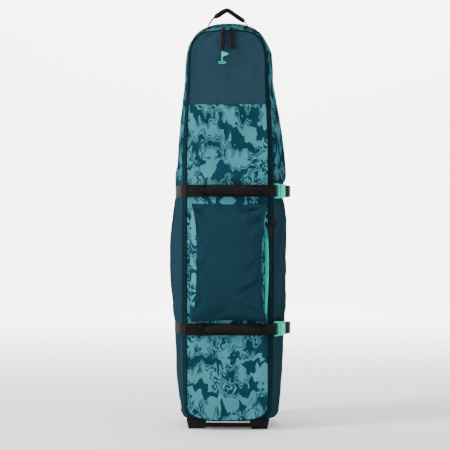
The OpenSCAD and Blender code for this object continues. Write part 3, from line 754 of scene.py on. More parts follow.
side_seam = next(i for i, p in enumerate(half_outline(0.5, 0)) if p[1] >= SIDE_SEAM_Z)
top_seam = I_ARCH + 19
for side, sign in (("left", -1), ("right", 1)):
    case_panel(side + "_side_cloth", N_BOTTOM, side_seam, 44, teal_side, side + "_side_lower",
               sign, 4.6, 1.0 + sign)
    case_panel(side + "_shoulder_cloth", side_seam, top_seam, 40, camo_side, side + "_side_upper",
               sign, 2.4, 4.0 + sign)

rows = []
for j in range(25):
    t = lerp(WALL_T0, 1.0, j / 24)
    arc = half_outline(t, 0.0)[top_seam:]
    line = [(x, z) for x, z in arc] + [(-x, z) for x, z in arc[-2::-1]]
    rows.append([(x, depth_y(t), z) for x, z in line])
sheet("crown_cloth", rows, "case", camo_side, "top_panel", uv=lambda co: (co.x + 1.7, co.y * 0.8),
      fill=0.8)


def seam_bead(name, pts, body, material, r=1.3, up=(0, 1, 0), closed=False):
    return new_object(name, tube_mesh(name, pts, (r, r), up, 8, closed=closed), body, material)


def wall_point(t, i, sign, out):
    x, z = half_outline(t, -out)[i]
    return (sign * x + lean(z, t), depth_y(t), z)


for side, sign in (("left", -1), ("right", 1)):
    for seam, at in (("side", side_seam), ("crown", top_seam)):
        line = [wall_point(WALL_T0 + 0.94 * k / 30, at, sign, 0.4) for k in range(31)]
        seam_bead(f"{side}_{seam}_seam", line, "case", teal_band, 1.2, (0, 0, 1))

# back: a slightly padded panel with sewn channels
rows = []
for x, z in half_outline(1.0, 0.0)[N_BOTTOM:]:
    row = []
    for c in range(41):
        s = c / 20 - 1
        channel = sum(math.exp(-(((s * x - q) / 5.0) ** 2)) for q in (-52, 52))
        channel *= 180 < z < 1120
        puff = 4.0 * (1 - s ** 4) * min(1, (z - 100) / 60, (CROWN_Z - 18 - z) / 60) - 3.0 * channel
        row.append((s * x, BACK_Y + 1.4 + max(puff, 0.0), z))
    rows.append(row)
sheet("back_cloth", rows, "case", teal_side, "back_panel", fill=0.8, flip=True)
back_edge = [(x, BACK_Y + 1.0, z) for x, z in outline(1.0, 0.5)[N_BOTTOM:-N_BOTTOM + 1]]
seam_bead("back_piping", back_edge, "case", teal_band, 2.3)

# underside cloth, flat and then sloping up to the wheels
rows = []
for j in range(31):
    t = lerp(WALL_T0, 1.0, j / 30)
    x, z = half_outline(t, 0.0)[N_BOTTOM]
    rows.append([(x * s / 10, depth_y(t), z) for s in range(-10, 11)])
sheet("underside_cloth", rows, "case", teal_band, "bottom_panel", uv=lambda co: (co.x, co.y), flip=True)


# ---------------------------------------------------------------- zip bands, coil and piping
def band(name, y0, y1, body, material, node, hollow=0.0):
    """A strip of cloth right round the case, hollowed a little along its middle."""
    rows = []
    for j in range(6):
        y = lerp(y0, y1, j / 5)
        t = max((y - ZIP_Y) / (BACK_Y - ZIP_Y), 0.0)
        row = [(x, y, z) for x, z in outline(t, hollow * math.sin(math.pi * j / 5))]
        rows.append(row + [row[0]])
    solidify(new_object(name, grid_mesh(name, rows), body, material, node), 1.4)


def round_line(t, d, y):
    return [(x, y, z) for x, z in outline(t, d)]


TAPE_Y = -113.0
band("body_zip_band", ZIP_Y + 0.8, -87.8, "case", teal_band, "body_zip", 0.7)
band("lid_rim_band", RIM_Y, TAPE_Y, "lid", teal_band, "lid_rim", 0.7)
band("lid_zip_tape", TAPE_Y, ZIP_Y - 0.8, "lid", tape_dark, "lid_zip")
seam_bead("lid_tape_seam", round_line(0.0, -0.2, TAPE_Y), "lid", teal_thread, 0.8, closed=True)
seam_bead("body_tape_seam", round_line(0.03, -0.2, -96.0), "case", teal_thread, 0.8, closed=True)


def resample(points, pitch):
    """Places at an even pitch along a closed line, each with the line's direction."""
    pts = [Vector(p) for p in points]
    out, carry = [], 0.0
    for a, b in zip(pts, pts[1:] + pts[:1]):
        length = (b - a).length
        s = carry
        while s < length:
            out.append((a.lerp(b, s / length), (b - a).normalized()))
            s += pitch
        carry = s - length
    return out


BOX_FACES = ((0, 1, 2, 3), (7, 6, 5, 4), (0, 4, 5, 1), (1, 5, 6, 2), (2, 6, 7, 3), (3, 7, 4, 0))


def zip_teeth(name, body, y_root, y_tip, start):
    """One side's row of teeth along the zip line."""
    bm = bmesh.new()
    for p, d in resample([(x, 0, z) for x, z in outline(0.0, 0.0)], 3.4):
        p = p + d * start
        normal = Vector((d.z, 0, -d.x))
        for ya, yb, w in ((y_root, y_tip, 0.75), (y_tip, y_tip + (0.7 if y_tip > y_root else -0.7), 1.0)):
            ring = []
            for y in (ya, yb):
                for u, v in ((-w, 0.2), (w, 0.2), (w, 1.7), (-w, 1.7)):
                    ring.append(bm.verts.new((Vector((p.x, y, p.z)) + d * u + normal * v) * MM))
            for q in BOX_FACES:
                bm.faces.new([ring[i] for i in q])
    bmesh.ops.recalc_face_normals(bm, faces=bm.faces)
    new_object(name, mesh_from(bm, name), body, slider_metal)


zip_teeth("body_zip_teeth", "case", ZIP_Y + 1.9, ZIP_Y - 0.3, 0.0)
zip_teeth("lid_zip_teeth", "lid", ZIP_Y - 1.9, ZIP_Y + 0.3, 1.7)

piping = seam_bead("lid_edge_piping", round_line(0.0, 1.0, RIM_Y), "lid", tape_dark, 2.7, closed=True)
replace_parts(piping, "lid_piping")
seam_bead("lid_piping_stitch", round_line(0.0, -0.1, RIM_Y + 3.6), "lid", teal_thread, 0.5, closed=True)


# ---------------------------------------------------------------- lid panels
def lid_crown_at(z):
    return LID_CROWN * min(1.0, (z - BASE_Z) / 70.0, (ZIP_TOP - z) / 70.0)


def face_y(s, z):
    return RIM_Y - max(lid_crown_at(z), 0.0) * (1 - s * s)


N_FACE = 56


def lid_panel(name, z_from, z_to, material, node, seed, grow, cap):
    """The lid's cloth between two heights, held along its edges and under the straps."""
    line = [p for p in half_outline(0.0, 1.6)[N_BOTTOM:] if p[0] > 12]
    line = [p for p in line if z_from - 0.01 <= p[1] <= z_to + 0.01]
    if z_to < 1100:
        line.append((half_w(z_to, 0.0) - 1.6, z_to))
    if z_from > 100:
        line.insert(0, (half_w(z_from, 0.0) - 1.6, z_from))
    rows = []
    for x, z in line:
        row = []
        for c in range(N_FACE + 1):
            s = 1 - 2 * c / N_FACE
            y = face_y(s, z) + 1.5 * strap_pinch(z) * (1 - s ** 6)
            edge = max(0.0, min(1.0, (1 - abs(s)) * 6))
            row.append((s * x, y + edge * fold((s * x, 0, z), 0.8, seed, (12, 1, 10)), z))
        rows.append(row)
    o = new_object(name, grid_mesh(name, rows), "lid", material, node)
    n, m = len(rows), N_FACE + 1
    held = border(n, m)
    for r in range(n):
        if under_strap(rows[r][0][2], 20):
            held.update(r * m + c for c in range(m))
    simulate(o, held, 1.2, 14, grow, cap)
    uv_from(o, lambda co: (co.x + 0.4, co.z))
    solidify(o, 1.6)


lid_panel("lid_top_cloth", LID_SEAM_Z, 1265.0, teal_lid, "lid_top_panel", 2.0, 0.006, 3.0)
lid_panel("lid_face_cloth", BASE_Z, LID_SEAM_Z, camo_lid, "lid_main_panel", 6.0, 0.01, 4.0)
seam_w = half_w(LID_SEAM_Z, 0)
seam_pts = [(x, face_y(x / seam_w, LID_SEAM_Z) - 0.6, LID_SEAM_Z) for x in range(-126, 127, 6)]
seam_bead("lid_panel_seam", seam_pts, "lid", teal_thread, 0.9, (0, 0, 1))


# ---------------------------------------------------------------- shoe pocket
POCKET_LOW, POCKET_HIGH, POCKET_DEEP = 342.0, 715.0, 42.0
POCKET_MID = (POCKET_LOW + POCKET_HIGH) / 2
POCKET_FOLDS = [
    (-116, 703, -74, 682, 6, -12.2), (117, 702, 48, 686, 6, -12.2), (-114, 688, -66, 664, 8, 8.1),
    (114, 686, 50, 668, 8, 8.1), (-60, 688, 40, 690, 8, 5.4), (-112, 668, -80, 630, 8, -6.8),
    (112, 666, 66, 640, 8, -6.8), (-108, 648, -88, 596, 9, 4.1), (108, 644, 76, 600, 9, 4.1),
    (98, 484, 36, 446, 9, 6.1), (95, 468, 32, 429, 8, -8.1), (90, 452, 30, 412, 9, 4.7),
    (90, 552, 66, 520, 8, 4.1), (87, 538, 63, 507, 8, -6.1), (32, 374, -56, 340, 9, 9.5),
    (32, 374, 104, 346, 9, 8.8), (18, 394, -76, 358, 9, -8.1), (46, 394, 108, 368, 9, -8.1),
    (-110, 356, -64, 390, 9, 6.8), (-106, 378, -72, 414, 8, -5.4), (-98, 560, -62, 520, 10, 3.2),
    (-96, 470, -44, 516, 11, 3.0), (-92, 500, -50, 548, 9, -3.0),
]


def pocket_out(z):
    f = max(0.0, 1 - (2 * (z - POCKET_MID) / (POCKET_HIGH - POCKET_LOW)) ** 2)
    return 2.0 + (POCKET_DEEP - 9) * f ** 0.6


def pocket_edge(z):
    f = abs(2 * (z - POCKET_MID) / (POCKET_HIGH - POCKET_LOW))
    return 101.0 + 19.0 * min(1.0, f) ** 3.2


def pocket_slide(z):
    """The filled pocket hangs a little towards the buckles, more at its top."""
    return 5.0 + 3.0 * (z - POCKET_LOW) / (POCKET_HIGH - POCKET_LOW)


def pocket_y(s, z):
    out = pocket_out(z)
    return RIM_Y - LID_CROWN - 0.6 - out - 6 * (1 - s * s) * out / POCKET_DEEP


N_POCKET, N_UP = 64, 96
rows = []
for k in range(N_UP + 1):
    z = lerp(POCKET_LOW, POCKET_HIGH, k / N_UP)
    row = []
    for c in range(N_POCKET + 1):
        s = 1 - 2 * c / N_POCKET
        x = s * pocket_edge(z) + pocket_slide(z)
        sag = 6.0 * (1 - s * s) * (1 - k / N_UP) ** 6 - 2.5 * (1 - s * s) * (k / N_UP) ** 8
        row.append((x, pocket_y(s, z), z + sag))
    rows.append(row)
pocket_mesh = grid_mesh("pocket_front_cloth", rows)
pocket = new_object("pocket_front_cloth", pocket_mesh, "lid", teal_pocket, "pocket_front")
simulate(pocket, border(N_UP + 1, N_POCKET + 1), 1.0, 14, 0.014, 4.0, 10.0, 0.8)
for v in pocket.data.vertices:
    k, c = divmod(v.index, N_POCKET + 1)
    hold = min(1.0, 8 * (1 - abs(1 - 2 * c / N_POCKET)), k / 5, (N_UP - k) / 5)
    v.co.y -= hold * creases(v.co.x / MM, v.co.z / MM, POCKET_FOLDS) * MM
uv_from(pocket, face_on)
solidify(pocket, 1.5)
subdivide(pocket)

for side, sign in (("left", -1), ("right", 1)):
    rows = []
    for k in range(65):
        z = lerp(POCKET_LOW + 12, POCKET_HIGH - 12, k / 64)
        e, y0 = pocket_edge(z), pocket_y(1, z)
        row = []
        for c in range(9):
            f = c / 8
            bow = 2.0 * math.sin(math.pi * f)
            x = sign * (lerp(117.5, e, f) + bow) + f * pocket_slide(z)
            row.append((x, lerp(RIM_Y - 1.6, y0, f), z))
        rows.append(row)
    gusset = sheet(side + "_pocket_side", rows, "lid", camo_lid, uv=lambda co: (co.x + co.y * 1.2, co.z),
                   thick=1.2, flip=(sign < 0))
    if side == "left":
        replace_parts(gusset, "pocket_gussets")
    heights = [lerp(POCKET_LOW, POCKET_HIGH, k / 60) for k in range(61)]
    edge_line = [(sign * pocket_edge(z) + pocket_slide(z), pocket_y(1, z) - 0.4, z) for z in heights]
    seam_bead(side + "_pocket_seam", edge_line, "lid", teal_band, 1.1)


def stitches(name, body, points, material, out=(0, -1, 0), pitch=4.2, long=2.8, r=0.32):
    """A row of short thread stitches lying along a line."""
    bm = bmesh.new()
    pts = [Vector(p) for p in points]
    carry = 0.0
    up = Vector(out)
    for a, b in zip(pts, pts[1:]):
        d = (b - a).normalized()
        side = d.cross(up).normalized()
        s = carry
        while s < (b - a).length:
            c = a + d * s
            ends = []
            for e, h in ((-long / 2, 0.0), (-long / 4, r * 1.6), (long / 4, r * 1.6), (long / 2, 0.0)):
                ring = [c + d * e + side * (r * u) + up * (h + r * v)
                        for u, v in ((-1, 0), (0, 1), (1, 0), (0, -1))]
                ends.append([bm.verts.new(p * MM) for p in ring])
            for p, q in zip(ends, ends[1:]):
                for i in range(4):
                    bm.faces.new((p[i], p[(i + 1) % 4], q[(i + 1) % 4], q[i]))
            bm.faces.new(ends[0][::-1])
            bm.faces.new(ends[-1])
            s += pitch
        carry = s - (b - a).length
    bmesh.ops.recalc_face_normals(bm, faces=bm.faces)
    new_object(name, mesh_from(bm, name, True), body, material)


# the pocket's mint zip, bowed with the edge of the pocket
MINT_LOW, MINT_HIGH, TAPE_W, N_TEETH = 369, 690, 11.0, 210


def mint_x(z):
    along = (z - MINT_LOW) / (MINT_HIGH - MINT_LOW)
    return 117.0 + 8.0 * math.sin(math.pi * min(1, 0.08 + along * 0.86))


rows = []
for k in range(41):
    z = lerp(MINT_LOW, MINT_HIGH, k / 40)
    x, y = mint_x(z), POCKET_ZIP_Y - 1.6
    rows.append([(x + TAPE_W * (0.5 - c / 6), y - 0.9 * math.sin(math.pi * c / 6), z) for c in range(7)])
tape = new_object("pocket_zip_tape", grid_mesh("pocket_zip_tape", rows), "lid", mint_tape, "pocket_zip")
solidify(tape, 1.0)
bm = bmesh.new()
for k in range(N_TEETH):
    z = lerp(MINT_LOW + 2, MINT_HIGH - 2, k / (N_TEETH - 1))
    x = mint_x(z) + (0.7 if k % 2 else -0.7)
    for v in bmesh.ops.create_cube(bm, size=1.0)["verts"]:
        v.co = Vector((x + v.co.x * 4.6, POCKET_ZIP_Y - 2.7 + v.co.y * 0.9, z + v.co.z)) * MM
pocket_teeth = new_object("pocket_zip_teeth", mesh_from(bm, "pocket_zip_teeth"), "lid", mint_plastic)
pocket_teeth.modifiers.new("edges", "BEVEL").width = 0.2 * MM


# ---------------------------------------------------------------- webbing straps
STRAP_Y = RIM_Y - 5.2
BUCKLE_AT = Vector((150.0, -108.0, 0.0))
BX = Vector((math.cos(math.radians(60)), math.sin(math.radians(60)), 0.0))
BY = Vector((-BX.y, BX.x, 0.0))


def in_buckle(xb, yb, z=0.0):
    return BUCKLE_AT + BX * xb + BY * yb + Vector((0, 0, z))


def webbing_strip(name, path, z, width, body, material, thick=1.5, per=6, replaced=(), rise=None, across=10):
    pts = spline(path, per)
    rows = []
    for c in range(across + 1):
        f = c / across - 0.5
        row = []
        for i, p in enumerate(pts):
            lift = rise(i / (len(pts) - 1)) if rise else 0.0
            row.append((p[0], p[1], z + lift + f * width))
        rows.append(row)
    o = new_object(name, grid_mesh(name, rows), body, material, *replaced)
    solidify(o, thick, 0.0)
    return o


def strap_edge_stitch(name, path, z, body, out=0.9):
    pts = spline(path, 6)
    for k, dz in enumerate((-16.2, 16.2)):
        line = []
        for i, p in enumerate(pts):
            a, b = pts[max(i - 1, 0)], pts[min(i + 1, len(pts) - 1)]
            d = (b - a).normalized()
            line.append((p[0] + d[1] * out, p[1] - d[0] * out, z + dz))
        stitches(f"{name}_{k}", body, line, stitch_material, (0, -1, 0), 3.6, 2.4, 0.25)


FRONT_PATH = [
    (-134, -118, 0), (-134, RIM_Y - 1.5, 0), (-130.8, STRAP_Y, 0), (-110, STRAP_Y - 1, 0),
    (-70, STRAP_Y - 2.6, 0), (0, STRAP_Y - 3.6, 0), (70, STRAP_Y - 2.6, 0), (110, STRAP_Y - 1, 0),
    (130, STRAP_Y - 0.4, 0), (135, STRAP_Y + 4, 0),
]
GRAB_X = (-74.0, 98.0)
GRAB_Y = STRAP_Y - 3.6 - 8.2


def sewn_pad(name, tag, z):
    """A sewn webbing end, pointed on the left and rounded on the right, with its stitching."""
    r, t = 18.5, 1.8
    if tag == "left":
        x0, x1, y, low, high = -104.0, -70.0, STRAP_Y - 2.4, 3, -5
        tip = x1 + 6
        pts = [(x0, -r), (tip - 9, -r), (tip, 0), (tip - 9, r), (x0, r)]
    else:
        x0, x1, y, low, high = 101.0, 128.0, STRAP_Y - 1.6, 0, -3
        angles = [math.pi / 2 - math.pi * k / 16 for k in range(17)]
        pts = [(x1, -r)] + [(x0 - 9 * math.cos(a), r * math.sin(a)) for a in angles][::-1] + [(x1, r)]
    bm = bmesh.new()
    front = [bm.verts.new(Vector((x, y - t, z + q)) * MM) for x, q in pts]
    rear = [bm.verts.new(Vector((x, y, z + q)) * MM) for x, q in pts]
    bm.faces.new(front)
    bm.faces.new(rear[::-1])
    n = len(pts)
    for i in range(n):
        bm.faces.new((front[i], rear[i], rear[(i + 1) % n], front[(i + 1) % n]))
    bmesh.ops.recalc_face_normals(bm, faces=bm.faces)
    name = f"{name}_{tag}_pad"
    pad = new_object(name, mesh_from(bm, name), "lid", webbing_fine)
    uv_from(pad, face_on)
    bevel(pad, 0.5, 2, harden=False)
    cx, on_top = sum(p[0] for p in pts) / n, y - t - 0.1
    ring = [(cx + (px - cx) * 0.86, on_top, z + pz * 0.84) for px, pz in pts]
    stitches(name + "_stitch", "lid", ring + [ring[0]], stitch_material)
    lo, hi = x0 + low, x1 + high
    cross = [(lo, on_top, z - 14), (hi, on_top, z + 14), (hi, on_top, z - 14), (lo, on_top, z + 14)]
    stitches(name + "_cross", "lid", cross, stitch_material)


def handle_loop(name, tag, z):
    """The loop of webbing that holds the grab handle's end."""
    x = GRAB_X[0] - 4 if tag == "left" else GRAB_X[1] + 4
    angles = [math.radians(-110 + 220 * k / 14) for k in range(15)]
    loop = [(x, GRAB_Y - 5.6 * math.cos(a), z + 5.6 * math.sin(a)) for a in angles]
    loop = [(x, STRAP_Y - 3.2, z - 9.0)] + loop + [(x, STRAP_Y - 3.2, z + 9.0)]
    rows = [[(p[0] + dx, p[1], p[2]) for p in spline(loop, 2)] for dx in (-3.5, -1.2, 1.2, 3.5)]
    o = new_object(f"{name}_{tag}_handle_loop", grid_mesh("loop", rows, flip=True), "lid", webbing_fine)
    solidify(o, 1.3, 0.0)


GRAB_PATH = [
    (-82, 0, 0), (-74, 0, 0), (-69, -1, 0), (-61, -6, 1), (-44, -11, 2.6), (-20, -14, 4.2), (12, -15, 5),
    (44, -14, 4.2), (68, -11, 2.6), (85, -6, 1), (93, -1, 0), (98, 0, 0), (106, 0, 0),
]
GRAB_HALF = [(4.2, 6.2), (4.4, 6.4), (4.8, 6.6), (5.2, 10.8), (5.4, 11.6), (5.4, 11.8)]
GRAB_R = GRAB_HALF + [(5.4, 11.8)] + GRAB_HALF[::-1]
WRAP_MALE = [
    (-14, -1.8), (-6, -3.5), (0, -3.9), (3.6, -3.2), (5.0, 0), (3.6, 3.2), (0, 3.9), (-8, 3.0), (-15, 1.4),
]
WRAP_FEMALE = [
    (80, -4.6), (72, -5.6), (64, -5.4), (60.6, -3.4), (60.4, 0), (60.6, 3.4), (64, 5.4), (72, 5.0), (82, 1.0),
]


def radii_along(pairs, per):
    return [tuple(v[:2]) for v in spline([(a, b, 0) for a, b in pairs], per)]


def grab_handle(name, z):
    """A rolled handle, a fold of webbing sewn along its back."""
    path = spline([(p[0], p[1] + GRAB_Y, z + p[2]) for p in GRAB_PATH], 6)
    grooves = ((0.16, math.pi / 2 * 0.55, 0.22), (0.16, 5.7, 0.22))
    rows = rolled_rows(path, radii_along(GRAB_R, 6), 28, grooves, (0.03, 0.06, 1.3, z))
    mesh = grid_mesh(name + "_grab", rows, closed=True)
    close_ends(mesh, 28)
    new_object(name + "_grab", mesh, name + "_grab", webbing, name + "_grab_handle")
    swap_uvs(mesh)


def bending_strip(name, rows, material, thick):
    """Cloth shaped round the lid's upright fold line, with its place baked into the mesh."""
    mesh = grid_mesh(name, rows)
    o = bpy.data.objects.new(name, mesh)
    scene.collection.objects.link(o)
    mesh.materials.append(material)
    solidify(o, thick, 0.0)
    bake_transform(o)


def wall_edge(z, t, out):
    return (-(half_w(z, t) + out), depth_y(t), 0)


for name, z in (("upper", UPPER_Z), ("lower", LOWER_Z)):
    wrap = [tuple(in_buckle(*q)) for q in WRAP_MALE]
    webbing_strip(name + "_front_strap", FRONT_PATH + wrap, z, WEBBING_W, "lid", webbing,
                  replaced=[name + "_strap_front"], per=7)
    strap_edge_stitch(name + "_strap_edge_stitch", FRONT_PATH[3:], z, "lid")
    for tag in ("left", "right"):
        sewn_pad(name, tag, z)
        handle_loop(name, tag, z)
    grab_handle(name, z)

    # body side: webbing sewn round the left wall, and the right one with its buckle loop
    left_pts = [wall_edge(z, 0.9 - 0.84 * k / 30, 2.0) for k in range(31)]
    webbing_strip(name + "_left_strap", left_pts, z, WEBBING_W, "case", webbing, per=2,
                  replaced=[name + "_strap_back"])
    ts = [0.9 - 0.46 * k / 16 for k in range(17)]
    right_pts = [(half_w(z, t) + 2.0, depth_y(t), 0) for t in ts]
    w = half_w(z, 0.44) + 1.6
    loop_path = [(w + 1.5, 6, 0), (w + 8, -6, 0), (196, -16, 0), (198, -27, 0), (194.5, -38, 0)]
    wrap = [tuple(in_buckle(*q)) for q in WRAP_FEMALE]
    webbing_strip(name + "_right_strap", right_pts + loop_path + wrap, z, 37, "case", webbing, 1.7, per=3)
    cross = [wall_edge(z, 0.06, 1.6), wall_edge(z, 0.04, 1.6), wall_edge(z, 0.02, 1.8),
             (-133.6, -104, 0), (-134, -110, 0), (-134, -118, 0)]
    pts = spline(cross, 6)
    rows = [[(p[0], p[1], z + WEBBING_W * (c / 8 - 0.5)) for p in pts] for c in range(9)]
    bending_strip(name + "_strap_bend", rows, webbing, 1.5)

# cloth of the fold line itself
rows = []
for k in range(80):
    z = lerp(96, 1108, k / 79)
    w = half_w(z, 0.0)
    fold_pts = [(-(half_w(z, 0.05) + 0.5), depth_y(0.05), z), (-(w + 0.9), ZIP_Y, z), (-(w + 0.5), TAPE_Y, z)]
    rows.append([tuple(p) for p in spline(fold_pts, 5)])
bending_strip("fold_line_cloth", rows, teal_band, 1.0)


# ---------------------------------------------------------------- side-release buckles
def extruded(bm, pts, y0, y1):
    """A flat shape in the buckle's x-z plane, thickened through it."""
    lo = [bm.verts.new((x, y0, z)) for x, z in pts]
    hi = [bm.verts.new((x, y1, z)) for x, z in pts]
    bm.faces.new(lo)
    bm.faces.new(hi[::-1])
    n = len(pts)
    for i in range(n):
        bm.faces.new((lo[i], hi[i], hi[(i + 1) % n], lo[(i + 1) % n]))


def slab_box(bm, x0, x1, y0, y1, z0, z1):
    extruded(bm, [(x0, z0), (x1, z0), (x1, z1), (x0, z1)], y0, y1)


def side_box(bm, x0, x1, y, s, near, far):
    """A box on one side of the buckle's middle, above it when s is 1 and below it when s is -1."""
    slab_box(bm, x0, x1, -y, y, min(s * near, s * far), max(s * near, s * far))


def buckle_piece(name, bm, z, body, material, *replaced, width=0.9):
    bmesh.ops.recalc_face_normals(bm, faces=bm.faces)
    for v in bm.verts:
        v.co = (in_buckle(v.co.x, v.co.y, v.co.z) + Vector((0, 0, z))) * MM
    bevel(new_object(name, mesh_from(bm, name, True), body, material, *replaced), width, 3)


for name, z in (("upper", UPPER_Z), ("lower", LOWER_Z)):
    bm = bmesh.new()
    for s in (-1, 1):
        pts = [(-3, 18.2), (0, 23.4), (6, 23.6), (14, 22.4), (25, 23.2), (25, 18.0), (12, 18.6), (4, 18.2)]
        extruded(bm, [(x, s * q) for x, q in (pts if s > 0 else pts[::-1])], -4.2, 4.2)
    slab_box(bm, 17, 25, -4.2, 4.2, -19, 19)
    slab_box(bm, 25, 47, -2.2, 2.2, -4.5, 4.5)
    buckle_piece(name + "_buckle_frame", bm, z, "lid", mint_plastic, name + "_buckle_male")
    # the bars use the darker mint, which is painted shade of their recess
    bm = bmesh.new()
    slab_box(bm, 0, 3.2, -2.4, 2.4, -19, 19)
    slab_box(bm, 8.5, 11.0, -3.4, -1.6, -18.6, 18.6)
    buckle_piece(name + "_buckle_bars", bm, z, "lid", mint_painted_shade, width=0.6)

    bm = bmesh.new()
    face = [(28, 20.5), (31, 22.6), (36, 22.0), (42, 18.2), (48, 17.6), (53, 21.2), (57, 21.6)]
    ring = [(x, -q) for x, q in face] + [(x, q) for x, q in face[::-1]]
    extruded(bm, ring, -5.6, -3.0)
    extruded(bm, ring, 3.0, 5.6)
    for s in (-1, 1):
        side_box(bm, 28, 35, 3.0, s, 18.4, 21.8)
        side_box(bm, 49.5, 57, 3.0, s, 17.6, 21.2)
        side_box(bm, 56, 66, 3.4, s, 17.0, 20.8)
    slab_box(bm, 54, 57, -3.0, 3.0, -18, 18)
    slab_box(bm, 64.2, 69.6, -3.4, 3.4, -20.4, 20.4)
    buckle_piece(name + "_buckle_body", bm, z, "case", mint_plastic, name + "_buckle_female")
    bm = bmesh.new()
    for k in range(3):
        slab_box(bm, 32 + 3.4 * k, 33.6 + 3.4 * k, -6.1, -5.4, -9 + 1.5 * k, 9 - 1.5 * k)
    buckle_piece(name + "_buckle_ribs", bm, z, "case", mint_plastic, width=0.25)
    for part in ("top", "bottom"):
        latch = f"{name}_latch_{part}"
        # the latch arms use the darker mint, which is painted shade
        bevelled_copy(f"{name}_arm_{part}", latch + "_arm", latch, mint_painted_shade, 0.5, 3)

# the lower strap's short tail, standing up behind its buckle
tail = [tuple(in_buckle(*q)) for q in ((44, 7.2), (56, 7.4), (66, 8.2), (74, 7.6))]
webbing_strip("lower_strap_tail", tail, LOWER_Z + 27, 16, "case", webbing_fine, 1.5, per=4)


# ---------------------------------------------------------------- top haul handle
HAUL_Y, HAUL_Z = -55.0, 1283.0


def crown_z(x, y):
    t = (y - ZIP_Y) / (BACK_Y - ZIP_Y)
    p, ws = smooth(t, ARCH, 0.05), half_w(SHOULDER_Z, t)
    h = CROWN_Z + smooth(t, CROWN, 0.05) - SHOULDER_Z
    return SHOULDER_Z + h * max(0.0, 1 - (abs(x) / ws) ** p) ** (1 / p)


HAUL_LEGS = [
    ("left", -66, 26, [(-65.3, 1284.6), (-59, 1294.5), (-51, 1306), (-44.5, 1313)]),
    ("right", 62, 16, [(61.5, 1285.2), (60, 1288.4), (56.5, 1293.8), (51.5, 1300)]),
]
for tag, foot, wide, leg in HAUL_LEGS:
    line = spline([(x, HAUL_Y, z) for x, z in leg], 6)
    widths = [lerp(7, wide, min(1.0, i / (len(line) - 1) * 2.2)) for i in range(len(line))]
    rows = [[(p[0], HAUL_Y + (c / 8 - 0.5) * w, p[2]) for p, w in zip(line, widths)] for c in range(9)]
    leg_piece = new_object(f"haul_leg_{tag}", grid_mesh("haul_leg", rows), "haul_handle", webbing)
    solidify(leg_piece, 3.0, 0.0)
    inward = -1 if foot > 0 else 1
    xs = [foot - 15 + 30 * k / 14 for k in range(15)]
    ys = [HAUL_Y - 17 + 34 * c / 12 for c in range(13)]
    rows = [[(x, y, crown_z(x, y) + 0.9) for x in xs] for y in ys]
    patch = new_object(f"haul_patch_{tag}", grid_mesh("haul_patch", rows), "case", webbing_fine)
    solidify(patch, 1.4, 1.0)
    if tag == "left":
        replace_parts(leg_piece, "haul_handle_webbing")
        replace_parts(patch, "handle_anchors")
    inner_x = foot + inward * 8
    tab = spline([(inner_x, HAUL_Y, crown_z(inner_x, HAUL_Y) + 2.0),
                  (foot + inward, HAUL_Y, crown_z(foot, HAUL_Y) + 3.6), (foot, HAUL_Y, HAUL_Z - 0.6)], 5)
    widths = [lerp(22, 12, k / (len(tab) - 1)) for k in range(len(tab))]
    rows = [[(p[0], p[1] + (c / 6 - 0.5) * w, p[2]) for p, w in zip(tab, widths)] for c in range(7)]
    solidify(new_object(f"haul_tab_{tag}", grid_mesh("haul_tab", rows), "case", webbing), 2.6, 0.0)
    corners = ((-12, -14), (12, -14), (12, 14), (-12, 14), (-12, -14))
    places = [(foot + dx, HAUL_Y + dy) for dx, dy in corners]
    ring = [(x, y, crown_z(x, y) + 2.6) for x, y in places]
    stitches(f"haul_patch_stitch_{tag}", "case", ring, stitch_material, (0, 0, 1))

grip_path = [
    (-44, 1312.5), (-38, 1316.5), (-29, 1322), (-16, 1330.5), (-4, 1335), (8, 1330), (21, 1320.5),
    (34, 1311.5), (45, 1304.2), (51, 1300),
]
grip_r = [
    (12, 4.4), (15, 8), (16, 8.7), (16, 8.4), (16, 7.8),
    (16, 7.6), (16, 7.6), (16, 7.8), (15, 7.6), (12, 5.2),
]
fine = spline([(x, HAUL_Y, z) for x, z in grip_path], 7)
rad = radii_along(grip_r, 7)
shaped = rolled_rows(fine, rad, 32, ((0.10, 1.2, 0.16), (0.06, 4.4, 0.2)), (0.05, 0.09, 1.1, 3.0))
for end in (0, -1):
    c = fine[end]
    ring = shaped[end]
    out_dir = (c - fine[1 if end == 0 else -2]).normalized()
    caps = [[c + (p - c) * f + out_dir * g for p in ring] for f, g in ((0.86, 1.2), (0.5, 1.8), (0.12, 1.9))]
    shaped = caps[::-1] + shaped if end == 0 else shaped + caps
mesh = grid_mesh("haul_grip", shaped, closed=True)
grip = new_object("haul_grip", mesh, "haul_handle", webbing, "haul_handle_grip")
swap_uvs(mesh)
top_line = [(p[0], p[1] - 9.0, p[2] + r[1] * 0.82) for p, r in zip(fine, rad)]
stitches("haul_grip_stitch", "haul_handle", top_line[3:-3], stitch_material, (0, -0.5, 0.86))


# ---------------------------------------------------------------- badge
def badge_piece(name, pts):
    """A flat raised shape, given from the badge's own middle."""
    bm = bmesh.new()
    extruded(bm, [(BADGE_X + x, BADGE_Z + z) for x, z in pts], BADGE_Y - BADGE_T, BADGE_Y)
    for v in bm.verts:
        v.co = v.co * MM
    bmesh.ops.recalc_face_normals(bm, faces=bm.faces)
    o = new_object(name, mesh_from(bm, name), "lid", mint_badge)
    uv_from(o, face_on)
    bevel(o, 0.5, 3, harden=False)
    return o


def oval(x, z, w, h):
    turns = [math.tau * k / 32 for k in range(32)]
    return [(BADGE_X + x + w * math.cos(a), BADGE_Z + z + h * math.sin(a)) for a in turns]


